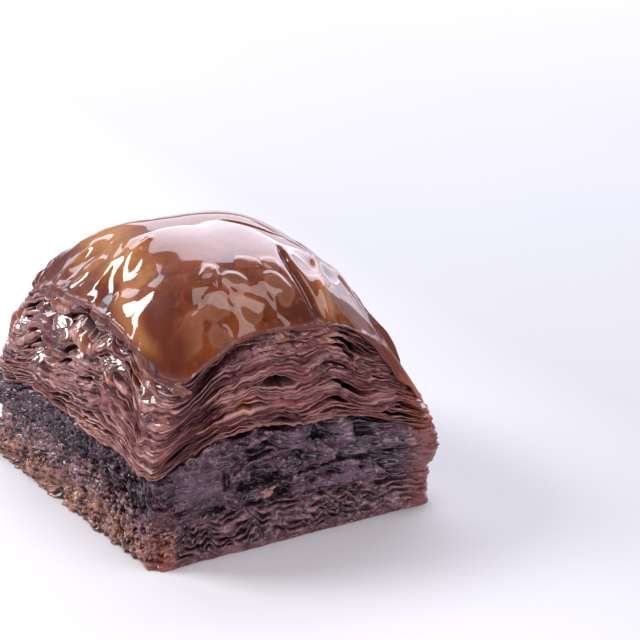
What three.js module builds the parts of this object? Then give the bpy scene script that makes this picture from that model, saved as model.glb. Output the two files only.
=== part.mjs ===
// One cut piece of cocoa baklava. Three closed solids lie on each other: soaked base sheets,
// a chocolate filling, and a tall stack of flaky sheets under a domed, glazed top sheet.
// Millimetres, +Z up. The origin is on the tray face, under the middle of the piece.
// The -Y side is the long clean cut, the -X side the torn one.
import * as THREE from "three";

// Driving dimensions -----------------------------------------------------------------------
const WIDTH = 46; // along X at the foot
const DEPTH = 52; // along Y at the foot
const CROWN_HEIGHT = 39.2; // foot to the top of the dome, before its bumps
const CORNER_RADIUS = 2.2; // where two cuts meet, at the foot

// Seams sink from the height of their middle towards the sides: by east on +X, north on +Y, west
// on -X and south on -Y, and by two of these in a corner. A high power keeps the middle flat.
const BASE_SEAM = { middle: 8.1, east: 0.2, north: 0.8, west: -0.2, south: 2.6, power: 2.2 };
const FILLING_SEAM = { middle: 20.6, east: 3.6, north: 2.0, west: 6.8, south: 3.9, power: 3.0 };
const CRUST = { middle: CROWN_HEIGHT, east: 8.4, north: 6.0, west: 8.2, south: 8.4, power: 2.6 };
const SEAM_REACH = 1.1; // a seam goes on sinking to this far out, as a share of its half size
const SEAM_GAP = 0.3; // free height that keeps neighbouring solids apart

// How far the cut sides lean in towards the top.
const FLARE_AT_FOOT = 0.5; // the foot stands this far outside the base's top
const FILLING_INSET = 0.7;
const FILLING_BULGE = 0.5;
const STACK_LEAN = 4.2; // the rim of the crust lies this far inside the foot
const LEAN_POWER = 1.8;

// The +X -Y corner is squeezed out over a drawn-in foot.
const SQUEEZED_CORNER = {
  bulge: 3.0, height: 11, halfHeight: 6, footInset: 0.4, footHeight: 3, reach: 8,
};

// Sheets that show in the relief of the sides.
const STACK_SHEETS = 8;
const BASE_SHEETS = 3;
const SHEET_GROOVE = 1.0; // depth of the groove between two sheets of the stack
const SHEET_EDGE = 0.55; // share of a sheet's pitch that its blunt edge takes
const BASE_GROOVE = 0.5;
const SHEET_WAVE = 0.6; // height of the ripples that the sheets share
const WAVE_DRIFT = 0.012; // share of a turn by which they drift from the filling to the crust
const SIDE_RAGGED = 0.4; // how far a cut wanders in and out

// The crust.
const RIM_THICKNESS = 1.1;
const RIM_OVERHANG = 0.7;
const RIM_WANDER = 0.4; // how far the rim rises and falls along a side
const RIM_FADE = 5; // a high power keeps that near the rim

// The filling.
const LUMP_HEIGHT = 0.6;

// Steps of the mesh.
const SIDE_STEPS = 20;
const CORNER_STEPS = 4;
const DOME_STEPS = 13;
const SEAM_STEPS = 4;
const FILLING_STEPS = 6;

// Bumps and hollows of the crust: place as a share of the half sizes, radius as such a share,
// height in millimetres, negative for a hollow.
const CRUST_BUMPS = [
  { u: -0.5, v: -0.6, radius: 0.3, height: 0.7 },
  { u: -0.8, v: -0.1, radius: 0.2, height: -1.0 },
  { u: -0.72, v: 0.42, radius: 0.2, height: -0.9 },
  { u: -0.6, v: 0.16, radius: 0.14, height: 0.6 },
  { u: 0.05, v: -0.72, radius: 0.26, height: 0.5 },
  { u: 0.62, v: -0.55, radius: 0.15, height: -1.1 },
  { u: 0.84, v: -0.5, radius: 0.14, height: 0.5 },
  { u: 0.55, v: 0.25, radius: 0.3, height: 0.6 },
  { u: 0.1, v: 0.7, radius: 0.24, height: -0.7 },
  { u: -0.3, v: 0.1, radius: 0.4, height: 0.4 },
];

// Colours ----------------------------------------------------------------------------------
const SOAKED_BROWN = new THREE.MeshStandardMaterial({ color: 0x5f3a2f, roughness: 0.45 });
const DARK_CHOCOLATE = new THREE.MeshStandardMaterial({ color: 0x33242a, roughness: 0.35 });
const COCOA_PASTRY = new THREE.MeshStandardMaterial({ color: 0x8a5444, roughness: 0.4 });

// Shape functions --------------------------------------------------------------------------

// A repeatable number from 0 to 1 for a whole number.
function dice(seed) {
  const x = Math.sin(seed * 12.9898 + 4.137) * 43758.5453;
  return x - Math.floor(x);
}

// A smooth value of about -1 to 1 that runs once round the piece as turn goes from 0 to 1.
function ripple(turn, seed, slowest = 5) {
  let sum = 0;
  for (let octave = 0; octave < 3; octave++) {
    const cycles = Math.round(slowest * 1.9 ** octave);
    const phase = dice(seed * 7 + octave);
    sum += Math.sin(2 * Math.PI * (cycles * turn + phase)) / (1 + octave);
  }
  return sum / 1.5;
}

// The stations round the piece, counterclockwise. Each holds its turn from 0 to 1, the two corners
// it lies between, how far along it lies, and the angle that its side faces.
function stationsAround() {
  const corners = [[1, 1], [-1, 1], [-1, -1], [1, -1]].map(([x, y]) => ({ x, y }));
  const stations = [];
  corners.forEach((from, side) => {
    const to = corners[(side + 1) % corners.length];
    const facing = (side * Math.PI) / 2;
    for (let step = 0; step < CORNER_STEPS; step++) {
      stations.push({ from, to, angle: facing + ((Math.PI / 2) * step) / CORNER_STEPS, along: 0 });
    }
    for (let step = 0; step < SIDE_STEPS; step++) {
      stations.push({ from, to, angle: facing + Math.PI / 2, along: step / SIDE_STEPS });
    }
  });
  stations.forEach((station, index) => {
    station.turn = index / stations.length;
  });
  return stations;
}

const STATIONS = stationsAround();

// The point of a station on the outline that lies inset inside the foot.
function outlinePoint(station, inset) {
  const radius = CORNER_RADIUS + 0.3 * Math.max(inset, 0);
  const centreOf = (corner) =>
    new THREE.Vector2(
      corner.x * (WIDTH / 2 - inset - radius),
      corner.y * (DEPTH / 2 - inset - radius),
    );
  const centre = centreOf(station.from).lerp(centreOf(station.to), station.along);
  return centre.add(new THREE.Vector2(Math.cos(station.angle), Math.sin(station.angle))
    .multiplyScalar(radius));
}

// A point of the outline at a height, moved out or in near the squeezed corner.
function squeezed(flat, height) {
  const corner = SQUEEZED_CORNER;
  const away = Math.hypot(flat.x - WIDTH / 2, flat.y + DEPTH / 2) / corner.reach;
  const rise = (height - corner.height) / corner.halfHeight;
  const push = corner.bulge * Math.exp(-rise * rise)
    - corner.footInset * Math.exp(-((height / corner.footHeight) ** 2));
  const share = push * Math.exp(-away * away) * Math.SQRT1_2;
  return new THREE.Vector2(flat.x + share, flat.y - share);
}

// The height of a seam over a point, with inset the distance of the seam's edge from the foot.
function seamHeight(seam, flat, inset) {
  const u = Math.min(Math.abs(flat.x) / (WIDTH / 2 - inset), SEAM_REACH);
  const v = Math.min(Math.abs(flat.y) / (DEPTH / 2 - inset), SEAM_REACH);
  const fallAlongX = (flat.x < 0 ? seam.west : seam.east) * u ** seam.power;
  const fallAlongY = (flat.y < 0 ? seam.south : seam.north) * v ** seam.power;
  return seam.middle - fallAlongX - fallAlongY;
}

// How far the ruffled sheets rise at a height share from 0, the filling, to 1, the crust.
// They lie flat on the filling, wave most half way up, and the crust calms them again.
function sheetWave(station, share) {
  const strength = Math.sqrt(Math.sin(Math.PI * (0.06 + 0.86 * share)));
  return SHEET_WAVE * strength * ripple(station.turn + WAVE_DRIFT * share, 3, 9);
}

// A closed ring round the side: each station's inset and height come from the two functions.
function sideRing(insetOf, heightOf) {
  return STATIONS.map((station) => {
    const flat = outlinePoint(station, insetOf(station));
    const height = heightOf(station, flat);
    const { x, y } = squeezed(flat, height);
    return new THREE.Vector3(x, y, height);
  });
}

// The rings over a seam, from the outline with the given insets inwards. The first is the edge.
function seamRings(seam, gap, insetOf) {
  return Array.from({ length: SEAM_STEPS }, (_, step) =>
    STATIONS.map((station) => {
      const edge = outlinePoint(station, insetOf(station));
      const flat = squeezed(edge, seamHeight(seam, edge, FILLING_INSET))
        .multiplyScalar(1 - step / SEAM_STEPS);
      return new THREE.Vector3(flat.x, flat.y, seamHeight(seam, flat, FILLING_INSET) + gap);
    }));
}

// The rings over the dome, from the rim inwards, without the rim itself.
function domeRings(rim) {
  return Array.from({ length: DOME_STEPS - 1 }, (_, step) => {
    const share = 1 - (step + 1) / DOME_STEPS;
    return rim.map((p) => {
      const wander = (p.z - crustHeight(p)) * share ** RIM_FADE;
      const flat = new THREE.Vector2(p.x * share, p.y * share);
      return new THREE.Vector3(flat.x, flat.y, crustHeight(flat) + wander);
    });
  });
}

// The height of the glazed crust over a point, with its bumps and hollows.
function crustHeight(flat) {
  return CRUST_BUMPS.reduce((sum, bump) => {
    const du = flat.x / (WIDTH / 2 - STACK_LEAN) - bump.u;
    const dv = flat.y / (DEPTH / 2 - STACK_LEAN) - bump.v;
    return sum + bump.height * Math.exp(-(du * du + dv * dv) / (bump.radius * bump.radius));
  }, seamHeight(CRUST, flat, STACK_LEAN));
}

// One closed skin through the rings, from the pole under the first ring to the one over the last.
function skinThrough(rings, bottomHeight, topHeight) {
  const count = STATIONS.length;
  const points = [new THREE.Vector3(0, 0, bottomHeight), ...rings.flat(),
    new THREE.Vector3(0, 0, topHeight)];
  const at = (ring, station) => 1 + ring * count + (station % count);
  const faces = [];
  for (let i = 0; i < count; i++) {
    faces.push(0, at(0, i + 1), at(0, i));
    for (let ring = 0; ring + 1 < rings.length; ring++) {
      const [a, b] = [at(ring, i), at(ring, i + 1)];
      const [c, d] = [at(ring + 1, i), at(ring + 1, i + 1)];
      faces.push(a, b, d, a, d, c);
    }
    faces.push(at(rings.length - 1, i), at(rings.length - 1, i + 1), points.length - 1);
  }
  const geometry = new THREE.BufferGeometry().setFromPoints(points);
  geometry.setIndex(faces);
  geometry.computeVertexNormals();
  return geometry;
}

// The solids -------------------------------------------------------------------------------

// Soaked, pressed sheets. Their underside is flat.
function baseSheets() {
  const levels = 2 * BASE_SHEETS;
  const inset = (level) => (station) =>
    (level % 2 ? BASE_GROOVE : 0) - FLARE_AT_FOOT * (1 - level / levels)
      + SIDE_RAGGED * ripple(station.turn, 40 + (level >> 1), 11);
  const sides = Array.from({ length: levels }, (_, level) =>
    sideRing(inset(level), (station, flat) =>
      (level / levels) * (seamHeight(BASE_SEAM, flat, FILLING_INSET) - SEAM_GAP / 2)));
  const lid = seamRings(BASE_SEAM, -SEAM_GAP / 2, inset(levels));
  return skinThrough([...sides, ...lid], 0, BASE_SEAM.middle - SEAM_GAP / 2);
}

// Dark filling, lumpy where it was cut.
function chocolateFilling() {
  const inset = (level) => (station) =>
    FILLING_INSET - FILLING_BULGE * Math.sin((Math.PI * level) / FILLING_STEPS)
      + LUMP_HEIGHT * ripple(station.turn, 60 + level, 13);
  const floor = seamRings(BASE_SEAM, SEAM_GAP / 2, inset(0)).reverse();
  const sides = Array.from({ length: FILLING_STEPS - 1 }, (_, step) =>
    sideRing(inset(step + 1), (station, flat) => THREE.MathUtils.lerp(
      seamHeight(BASE_SEAM, flat, FILLING_INSET),
      seamHeight(FILLING_SEAM, flat, FILLING_INSET),
      (step + 1) / FILLING_STEPS,
    )));
  const lid = seamRings(FILLING_SEAM, -SEAM_GAP / 2, inset(FILLING_STEPS));
  return skinThrough([...floor, ...sides, ...lid], BASE_SEAM.middle + SEAM_GAP / 2,
    FILLING_SEAM.middle - SEAM_GAP / 2);
}

// The flaky stack, with the glazed crust as its top. Each sheet shows a blunt edge over SHEET_EDGE
// of its pitch, and a groove over the rest. The first edge's lower ring is the floor's own edge.
function flakyStack() {
  const lean = (share) => FILLING_INSET + (STACK_LEAN - FILLING_INSET) * share ** LEAN_POWER;
  const ragged = (station, sheet) => SIDE_RAGGED * ripple(station.turn, 80 + sheet, 8);
  const heightAt = (share) => (station, flat) => {
    const rim = outlinePoint(station, STACK_LEAN);
    return THREE.MathUtils.lerp(
      seamHeight(FILLING_SEAM, flat, FILLING_INSET) + SEAM_GAP / 2,
      seamHeight(CRUST, rim, STACK_LEAN) - RIM_THICKNESS,
      share,
    ) + sheetWave(station, share) * Math.min(1, STACK_SHEETS * share);
  };
  const sides = [];
  for (let sheet = 0; sheet < STACK_SHEETS; sheet++) {
    const depth = (station) => SHEET_GROOVE * (1 + 0.6 * ripple(station.turn, 100 + sheet, 6));
    for (const [rise, grooved] of [[0, 0], [SHEET_EDGE, 0], [(1 + SHEET_EDGE) / 2, 1]]) {
      const share = (sheet + rise) / STACK_SHEETS;
      sides.push(sideRing(
        (station) => lean(share) + grooved * depth(station) + ragged(station, sheet),
        heightAt(share),
      ));
    }
  }
  const floor = seamRings(FILLING_SEAM, SEAM_GAP / 2, (station) => lean(0) + ragged(station, 0));
  const lip = (overhang, drop) => sideRing(
    (station) => STACK_LEAN - overhang + ragged(station, STACK_SHEETS),
    (station) => crustHeight(outlinePoint(station, STACK_LEAN)) + sheetWave(station, 1)
      + RIM_WANDER * ripple(station.turn, 21, 7) - drop,
  );
  const rim = lip(0, 0);
  return skinThrough(
    [...floor.reverse(), ...sides.slice(1), lip(RIM_OVERHANG, RIM_THICKNESS),
      lip(RIM_OVERHANG, 0.4), rim, ...domeRings(rim)],
    FILLING_SEAM.middle + SEAM_GAP / 2,
    crustHeight(new THREE.Vector2(0, 0)),
  );
}

// Assembly ---------------------------------------------------------------------------------

function namedMesh(name, geometry, material) {
  const mesh = new THREE.Mesh(geometry, material);
  mesh.name = name;
  return mesh;
}

const baklavaPiece = new THREE.Group();
baklavaPiece.add(
  namedMesh("base_sheets", baseSheets(), SOAKED_BROWN),
  namedMesh("chocolate_filling", chocolateFilling(), DARK_CHOCOLATE),
  namedMesh("flaky_stack", flakyStack(), COCOA_PASTRY),
);

// The ragged cuts leave the piece a little off the middle, so it is centred over the origin.
const extent = new THREE.Box3().setFromObject(baklavaPiece);
const middle = extent.getCenter(new THREE.Vector3());
baklavaPiece.position.set(-middle.x, -middle.y, -extent.min.z);

export default baklavaPiece;
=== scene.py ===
"""A cut piece of cocoa baklava: soaked base sheets, a dark chocolate filling, and a tall stack of
ruffled flaky sheets under a domed, glazed crust.

Shapes are worked out in millimetres and turned into metres when their mesh is made. The south side
(-Y) is the clean cut, and the west side (-X) the torn one.
"""

import itertools
import logging
import math
from collections.abc import Sequence
from dataclasses import dataclass
from enum import Enum
from functools import cached_property

import bpy
import numpy as np
from bpy.types import Material, Node, NodeSocket, NodeTree, Object
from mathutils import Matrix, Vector


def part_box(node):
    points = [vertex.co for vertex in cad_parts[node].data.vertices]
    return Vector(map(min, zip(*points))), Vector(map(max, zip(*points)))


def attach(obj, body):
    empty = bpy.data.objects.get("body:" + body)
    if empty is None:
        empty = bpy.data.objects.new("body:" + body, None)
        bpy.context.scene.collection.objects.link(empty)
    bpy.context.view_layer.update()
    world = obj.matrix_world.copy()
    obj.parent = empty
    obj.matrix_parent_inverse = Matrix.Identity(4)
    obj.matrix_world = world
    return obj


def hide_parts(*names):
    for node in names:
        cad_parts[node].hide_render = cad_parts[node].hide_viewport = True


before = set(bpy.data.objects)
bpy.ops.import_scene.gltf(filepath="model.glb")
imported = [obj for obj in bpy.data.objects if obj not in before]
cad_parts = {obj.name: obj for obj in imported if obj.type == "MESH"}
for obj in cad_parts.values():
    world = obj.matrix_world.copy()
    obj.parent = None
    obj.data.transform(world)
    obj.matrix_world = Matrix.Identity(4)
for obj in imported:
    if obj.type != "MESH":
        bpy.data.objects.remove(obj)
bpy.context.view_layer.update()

LOG = logging.getLogger("baklava")
MM = 0.001

Array = np.ndarray
Tags = dict[str, Array]
Pair = tuple[float, float]
Triple = tuple[float, float, float]
Colour = Triple


# Numbers that vary smoothly

def lattice_noise(points: Array, seed: int) -> Array:
    """Smooth noise that changes about once per unit of length.

    Args:
        points: Places, with x, y and z along the last axis.
        seed: Picks the pattern.

    Returns:
        One value for each place, from -1 to 1.
    """
    cell = np.floor(points).astype(np.int64)
    part = points - cell
    part = part * part * part * (part * (part * 6 - 15) + 10)
    total = np.zeros(points.shape[:-1])
    for corner in itertools.product((0, 1), repeat=3):
        node = cell + np.array(corner)
        code = (node[..., 0] * 374761393 + node[..., 1] * 668265263
                + node[..., 2] * 1442695041 + seed * 1274126177) & 0xFFFFFFFF
        code = ((code ^ (code >> 13)) * 1274126177) & 0xFFFFFFFF
        code ^= code >> 16
        value = code / 0x7FFFFFFF - 1.0
        total += value * np.prod(np.where(corner, part, 1 - part), axis=-1)
    return total


def rough_noise(points: Array, size: float, seed: int, octaves: int = 3) -> Array:
    """Noise with finer and finer detail.

    Args:
        points: Places in millimetres.
        size: Length of the largest features, in millimetres.
        seed: Picks the pattern.
        octaves: How many sizes are added up, each half the last.

    Returns:
        One value for each place, of about -1.5 to 1.5.
    """
    total = np.zeros(points.shape[:-1])
    for octave in range(octaves):
        total += lattice_noise(points * (2 ** octave / size), seed + 101 * octave) / 1.8 ** octave
    return total * 1.25


def stirred_noise(points: Array, size: float, seed: int, octaves: int = 3,
                  stir: float = 0.6) -> Array:
    """Noise that is drawn out into curls.

    Args:
        points: Places in millimetres.
        size: Length of the largest features, in millimetres.
        seed: Picks the pattern.
        octaves: How many sizes are added up.
        stir: How far it is drawn out, as a share of the size.

    Returns:
        One value for each place, of about -1.5 to 1.5.
    """
    drift = np.stack([rough_noise(points + 50.0 * axis, size * 1.3, seed + 7 * axis, 2)
                      for axis in range(3)], axis=-1)
    return rough_noise(points + drift * size * stir, size, seed, octaves)


def smooth_step(low: float, high: float, value: Array | float) -> Array:
    """A soft step from 0 at low to 1 at high."""
    share = np.clip((value - low) / (high - low), 0.0, 1.0)
    return share * share * (3 - 2 * share)


def blur_round(values: Array, reach: int) -> Array:
    """Average values over their neighbours round the piece, on the last axis."""
    return sum(np.roll(values, step, axis=-1) for step in range(-reach, reach + 1)) / (2 * reach + 1)


def away_from(points: Array, x: float, y: float) -> Array:
    """How far places lie from one spot, seen from above."""
    return np.hypot(points[..., 0] - x, points[..., 1] - y)


# Outline and seams

class Side(Enum):
    """The four cut sides, each with the direction that it faces."""

    EAST = (1, 0)
    NORTH = (0, 1)
    WEST = (-1, 0)
    SOUTH = (0, -1)


Sides = dict[Side, float]


def sides(east: float, north: float, west: float, south: float) -> Sides:
    """One number for each side."""
    return dict(zip(Side, (east, north, west, south)))


def table(kind: type, *rows: tuple) -> tuple:
    """Things of one kind, each from a row of its places and sizes."""
    return tuple(kind(*row) for row in rows)


@dataclass(frozen=True)
class Seam:
    """A surface through the piece, highest over the middle. Its falls to two sides add up."""

    half: Pair
    middle: float
    east: float
    north: float
    west: float
    south: float
    power: float
    inset: float
    reach: float = 1.3

    def height(self, flat: Array) -> Array:
        """The height over places.

        Args:
            flat: Places from the middle of the piece, with x and y first on the last axis.

        Returns:
            One height for each place.
        """
        u = np.minimum(np.abs(flat[..., 0]) / (self.half[0] - self.inset), self.reach)
        v = np.minimum(np.abs(flat[..., 1]) / (self.half[1] - self.inset), self.reach)
        along_x = np.where(flat[..., 0] < 0, self.west, self.east) * u ** self.power
        along_y = np.where(flat[..., 1] < 0, self.south, self.north) * v ** self.power
        return self.middle - along_x - along_y


@dataclass(frozen=True)
class Bump:
    """A round swelling, or a dent where its height is negative."""

    x: float
    y: float
    radius: float
    height: float
    power: float = 2.0

    def lift(self, flat: Array) -> Array:
        """How far it lifts a surface at places."""
        return self.height * np.exp(-(away_from(flat, self.x, self.y) / self.radius) ** self.power)


@dataclass(frozen=True)
class Outline:
    """A rounded rectangle, sampled at stations that run counterclockwise round it."""

    half: Pair
    shift: Triple
    corner_radius: float = 2.2
    corner_steps: int = 12
    side_steps: int = 168
    bulge: float = 3.0
    bulge_height: float = 10.0
    bulge_half_height: float = 6.8
    foot_inset: float = 0.2
    foot_half_height: float = 3.0
    bulge_reach: float = 8.0
    tuck: float = 5.5
    tuck_low: float = 10.0
    tuck_high: float = 25.0
    spread: float = 0.7
    tuck_reach: float = 6.5

    @cached_property
    def stations(self) -> tuple[Array, Array]:
        """Go round the outline.

        Returns:
            The arc centres as signs from -1 to 1, and the outward directions.
        """
        corners = np.array([(1, 1), (-1, 1), (-1, -1), (1, -1)], dtype=float)
        signs, angles = [], []
        for side in range(4):
            start, end = corners[side], corners[(side + 1) % 4]
            facing = side * math.pi / 2
            for step in range(self.corner_steps):
                signs.append(start)
                angles.append(facing + math.pi / 2 * step / self.corner_steps)
            for step in range(self.side_steps):
                share = step / self.side_steps
                signs.append(start * (1 - share) + end * share)
                angles.append(facing + math.pi / 2)
        return np.array(signs), np.stack([np.cos(angles), np.sin(angles)], axis=-1)

    @property
    def count(self) -> int:
        """How many stations there are."""
        return 4 * (self.corner_steps + self.side_steps)

    def from_corner(self, points: Array, east: int, north: int, inside: float = 0.0) -> Array:
        """How far places lie from a corner of the foot, seen from above.

        Args:
            points: Places from the middle of the piece.
            east: 1 for an eastern corner, and -1 for a western one.
            north: 1 for a northern corner, and -1 for a southern one.
            inside: How far inside the corner they are measured from.

        Returns:
            One distance for each place.
        """
        return away_from(points, east * (self.half[0] - inside), north * (self.half[1] - inside))

    def ring(self, inset: Array | float, height: Array | float) -> Array:
        """A ring of points round the piece.

        Args:
            inset: How far inside the foot each point lies.
            height: How high each point lies.

        Returns:
            Points from the middle of the piece, one for each station.
        """
        inset = np.broadcast_to(inset, (self.count,))
        height = np.broadcast_to(height, (self.count,))
        radius = self.corner_radius + 0.3 * np.maximum(inset, 0)
        signs, outward = self.stations
        straight = np.array(self.half) - (inset + radius)[:, None]
        return self.squeeze(signs * straight + outward * radius[:, None], height)

    def squeeze(self, flat: Array, height: Array) -> Array:
        """Push out the corners that bulge and tuck in the one that was squeezed.

        Args:
            flat: Places from the middle of a straight-sided piece, with x and y.
            height: How high each place lies.

        Returns:
            Points with x, y and z.
        """
        away = self.from_corner(flat, 1, -1) / self.bulge_reach
        rise = (height - self.bulge_height) / self.bulge_half_height
        push = (self.bulge * np.exp(-rise ** 2)
                - self.foot_inset * np.exp(-(height / self.foot_half_height) ** 2))
        push = push * np.exp(-away ** 2) / math.sqrt(2)
        away = self.from_corner(flat, -1, -1) / self.tuck_reach
        rise = np.clip((height - self.tuck_low) / (self.tuck_high - self.tuck_low), 0, 1)
        tuck = self.tuck * rise ** 3 * np.exp(-away ** 2)
        away = self.from_corner(flat, -1, 1) / self.tuck_reach
        spread = self.spread * np.exp(-away ** 2)
        x, y = flat[:, 0] + push + tuck - spread, flat[:, 1] - push + spread / 2
        return np.stack([x, y, height], axis=-1)

    def by_side(self, values: Sides) -> Array:
        """Blend the sides' values at the corners.

        Args:
            values: One value for each side.

        Returns:
            One value for each station.
        """
        outward = self.stations[1]
        total = sum(value * np.maximum(outward @ np.array(side.value, dtype=float), 0) ** 2
                    for side, value in values.items())
        return blur_round(total, self.corner_steps)


@dataclass(frozen=True)
class Form:
    """The form that all layers share, worked out from the frame's three solids."""

    outline: Outline
    base: Seam
    filling: Seam
    crust: Seam

    FLARE = 0.5
    RAGGED = 0.4
    SEAM_GAP = 0.3
    CROWN_RISE = 0.3
    FILLING_INSET = 0.7
    STACK_LEAN = 4.2
    LEAN_POWER = 1.8
    FILLING_BUMPS = table(
        Bump, (-16.0, -25.3, 4.5, 2.0, 4), (-8.5, -25.3, 4.5, 1.5, 3), (-3.0, -25.3, 2.6, 0.7),
        (18.5, -25.3, 4.2, -1.6), (-22.3, 12.0, 4.0, 0.3), (22.3, 5.0, 5.0, -0.5), (-6.0, 25.3, 5.0, 0.5),
    )

    @classmethod
    def from_frame(cls) -> "Form":
        """Read the sizes of the three solids.

        Returns:
            The form.
        """
        base_low, base_high = (Vector(corner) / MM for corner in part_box("base_sheets"))
        filling_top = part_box("chocolate_filling")[1][2] / MM
        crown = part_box("flaky_stack")[1][2] / MM
        size = base_high - base_low
        edge = cls.FLARE + cls.RAGGED
        half = (size.x / 2 - edge, size.y / 2 - edge)
        return cls(
            Outline(half, ((base_low.x + base_high.x) / 2, (base_low.y + base_high.y) / 2, 0.0)),
            Seam(half, base_high.z + cls.SEAM_GAP / 2, 0.2, 0.8, -0.2, 2.6, 2.2, cls.FILLING_INSET),
            Seam(half, filling_top + cls.SEAM_GAP / 2, 3.6, 2.0, 6.8, 3.9, 3.0, cls.FILLING_INSET),
            Seam(half, crown - cls.CROWN_RISE, 8.4, 6.0, 8.2, 8.4, 2.6, cls.STACK_LEAN),
        )

    def lean(self, share: Array | float) -> Array | float:
        """How far inside the foot the stack lies, at a share of its height."""
        return self.FILLING_INSET + (self.STACK_LEAN - self.FILLING_INSET) * share ** self.LEAN_POWER

    def glow(self, points: Array) -> Array:
        """How far light shines through the thin corners at the ends of the south side.

        Args:
            points: Places from the middle of the piece.

        Returns:
            One value for each place, from 0 to 1.
        """
        east = smooth_step(6.0, 0.8, self.outline.from_corner(points, 1, -1))
        west = smooth_step(4.5, 1.0, self.outline.from_corner(points, -1, -1))
        return np.maximum(0.9 * east, west * smooth_step(11.0, 3.0, points[..., 2]))

    def base_ring(self) -> Array:
        """The heights where the filling lies on the base, round the piece."""
        path = self.outline.ring(self.FILLING_INSET, self.base.middle)
        return self.base.height(path) + 0.2 * rough_noise(path, 4.0, 31, 2)

    def filling_ring(self) -> Array:
        """The heights where the stack lies on the filling, round the piece.

        Returns:
            One height for each station.
        """
        path = self.outline.ring(self.FILLING_INSET, self.filling.middle)
        bumps = sum(bump.lift(path) for bump in self.FILLING_BUMPS)
        return self.filling.height(path) + bumps + 0.22 * rough_noise(path, 4.5, 32, 2)

    def rim_ring(self) -> Array:
        """The heights where the crust lies on the stack, round the piece."""
        return self.crust.height(self.outline.ring(self.STACK_LEAN, self.crust.middle))


# Meshes

def face_loops(rings: int, count: int, closed: bool) -> Array:
    """Quads between rings of points.

    Args:
        rings: How many rings there are.
        count: Points on each ring.
        closed: Whether the last ring joins the first.

    Returns:
        Four point numbers a quad, facing out of rings that run counterclockwise and upwards.
    """
    lower = np.arange(rings if closed else rings - 1)[:, None]
    upper = (lower + 1) % rings
    here = np.arange(count)[None, :]
    there = (here + 1) % count
    quads = [lower * count + here, lower * count + there, upper * count + there, upper * count + here]
    return np.stack([np.broadcast_to(q, (len(lower), count)) for q in quads], axis=-1).reshape(-1, 4)


def ring_skin(name: str, rings: Array, shift: Triple, tags: Tags, poles: Pair) -> Object:
    """Make one closed skin through rings of points.

    Args:
        name: The object's name.
        rings: Points in millimetres, by ring and station.
        shift: Where the middle of the piece lies.
        tags: Values for each point, by name, by ring and station.
        poles: Heights of the points that close the first and the last ring.

    Returns:
        The object, linked to the scene.
    """
    points = rings.reshape(-1, 3)
    count, last = rings.shape[1], len(points) - rings.shape[1]
    here = np.arange(count)
    there = (here + 1) % count
    bottom, top = np.full(count, len(points)), np.full(count, len(points) + 1)
    lids = np.concatenate([np.stack([bottom, there, here], axis=-1),
                           np.stack([last + here, last + there, top], axis=-1)])
    points = np.concatenate([points, [(0, 0, poles[0]), (0, 0, poles[1])]])
    values = {}
    for tag, value in tags.items():
        value = np.asarray(value, dtype=float).reshape(-1)
        values[tag] = np.concatenate([value, [value[:count].mean(), value[-count:].mean()]])
    return mesh_object(name, points + shift, [face_loops(len(rings), count, closed=False), lids], values)


def mesh_object(name: str, points: Array, faces: Sequence[Array], tags: Tags) -> Object:
    """Make a smooth mesh object from arrays.

    Args:
        name: The object's name.
        points: Places in millimetres.
        faces: Arrays of point numbers, each with a row for each face.
        tags: Values for each point, by name.

    Returns:
        The object, linked to the scene.
    """
    mesh = bpy.data.meshes.new(name)
    mesh.vertices.add(len(points))
    mesh.vertices.foreach_set("co", (points * MM).astype(np.float32).ravel())
    corners = np.concatenate([part.ravel() for part in faces]).astype(np.int32)
    sizes = np.concatenate([np.full(len(part), part.shape[1]) for part in faces]).astype(np.int32)
    mesh.loops.add(len(corners))
    mesh.loops.foreach_set("vertex_index", corners)
    mesh.polygons.add(len(sizes))
    mesh.polygons.foreach_set("loop_start", np.concatenate([[0], np.cumsum(sizes)[:-1]]).astype(np.int32))
    mesh.update(calc_edges=True)
    mesh.polygons.foreach_set("use_smooth", np.ones(len(sizes), dtype=bool))
    for tag, value in tags.items():
        layer = mesh.attributes.new(tag, "FLOAT", "POINT")
        layer.data.foreach_set("value", value.astype(np.float32))
    piece = bpy.data.objects.new(name, mesh)
    bpy.context.scene.collection.objects.link(piece)
    return piece


@dataclass(frozen=True)
class Dress:
    """What a piece wears: a material, the record's slot, which is not used, and the solid that it stands
    for, if any.
    """

    material: Material
    slot: str
    node: str | None = None


def adopt(piece: Object, dress: Dress) -> Object:
    """Give a piece its material and its body, and hide the solid that it stands for.

    Args:
        piece: The finished piece.
        dress: What it wears.

    Returns:
        The same piece.
    """
    piece.data.materials.clear()
    piece.data.materials.append(dress.material)
    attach(piece, "root")
    if dress.node:
        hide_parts(dress.node)
    triangles = sum(len(face.vertices) - 2 for face in piece.data.polygons)
    LOG.info("%s: %d triangles", piece.name, triangles)
    return piece


# Materials

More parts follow.
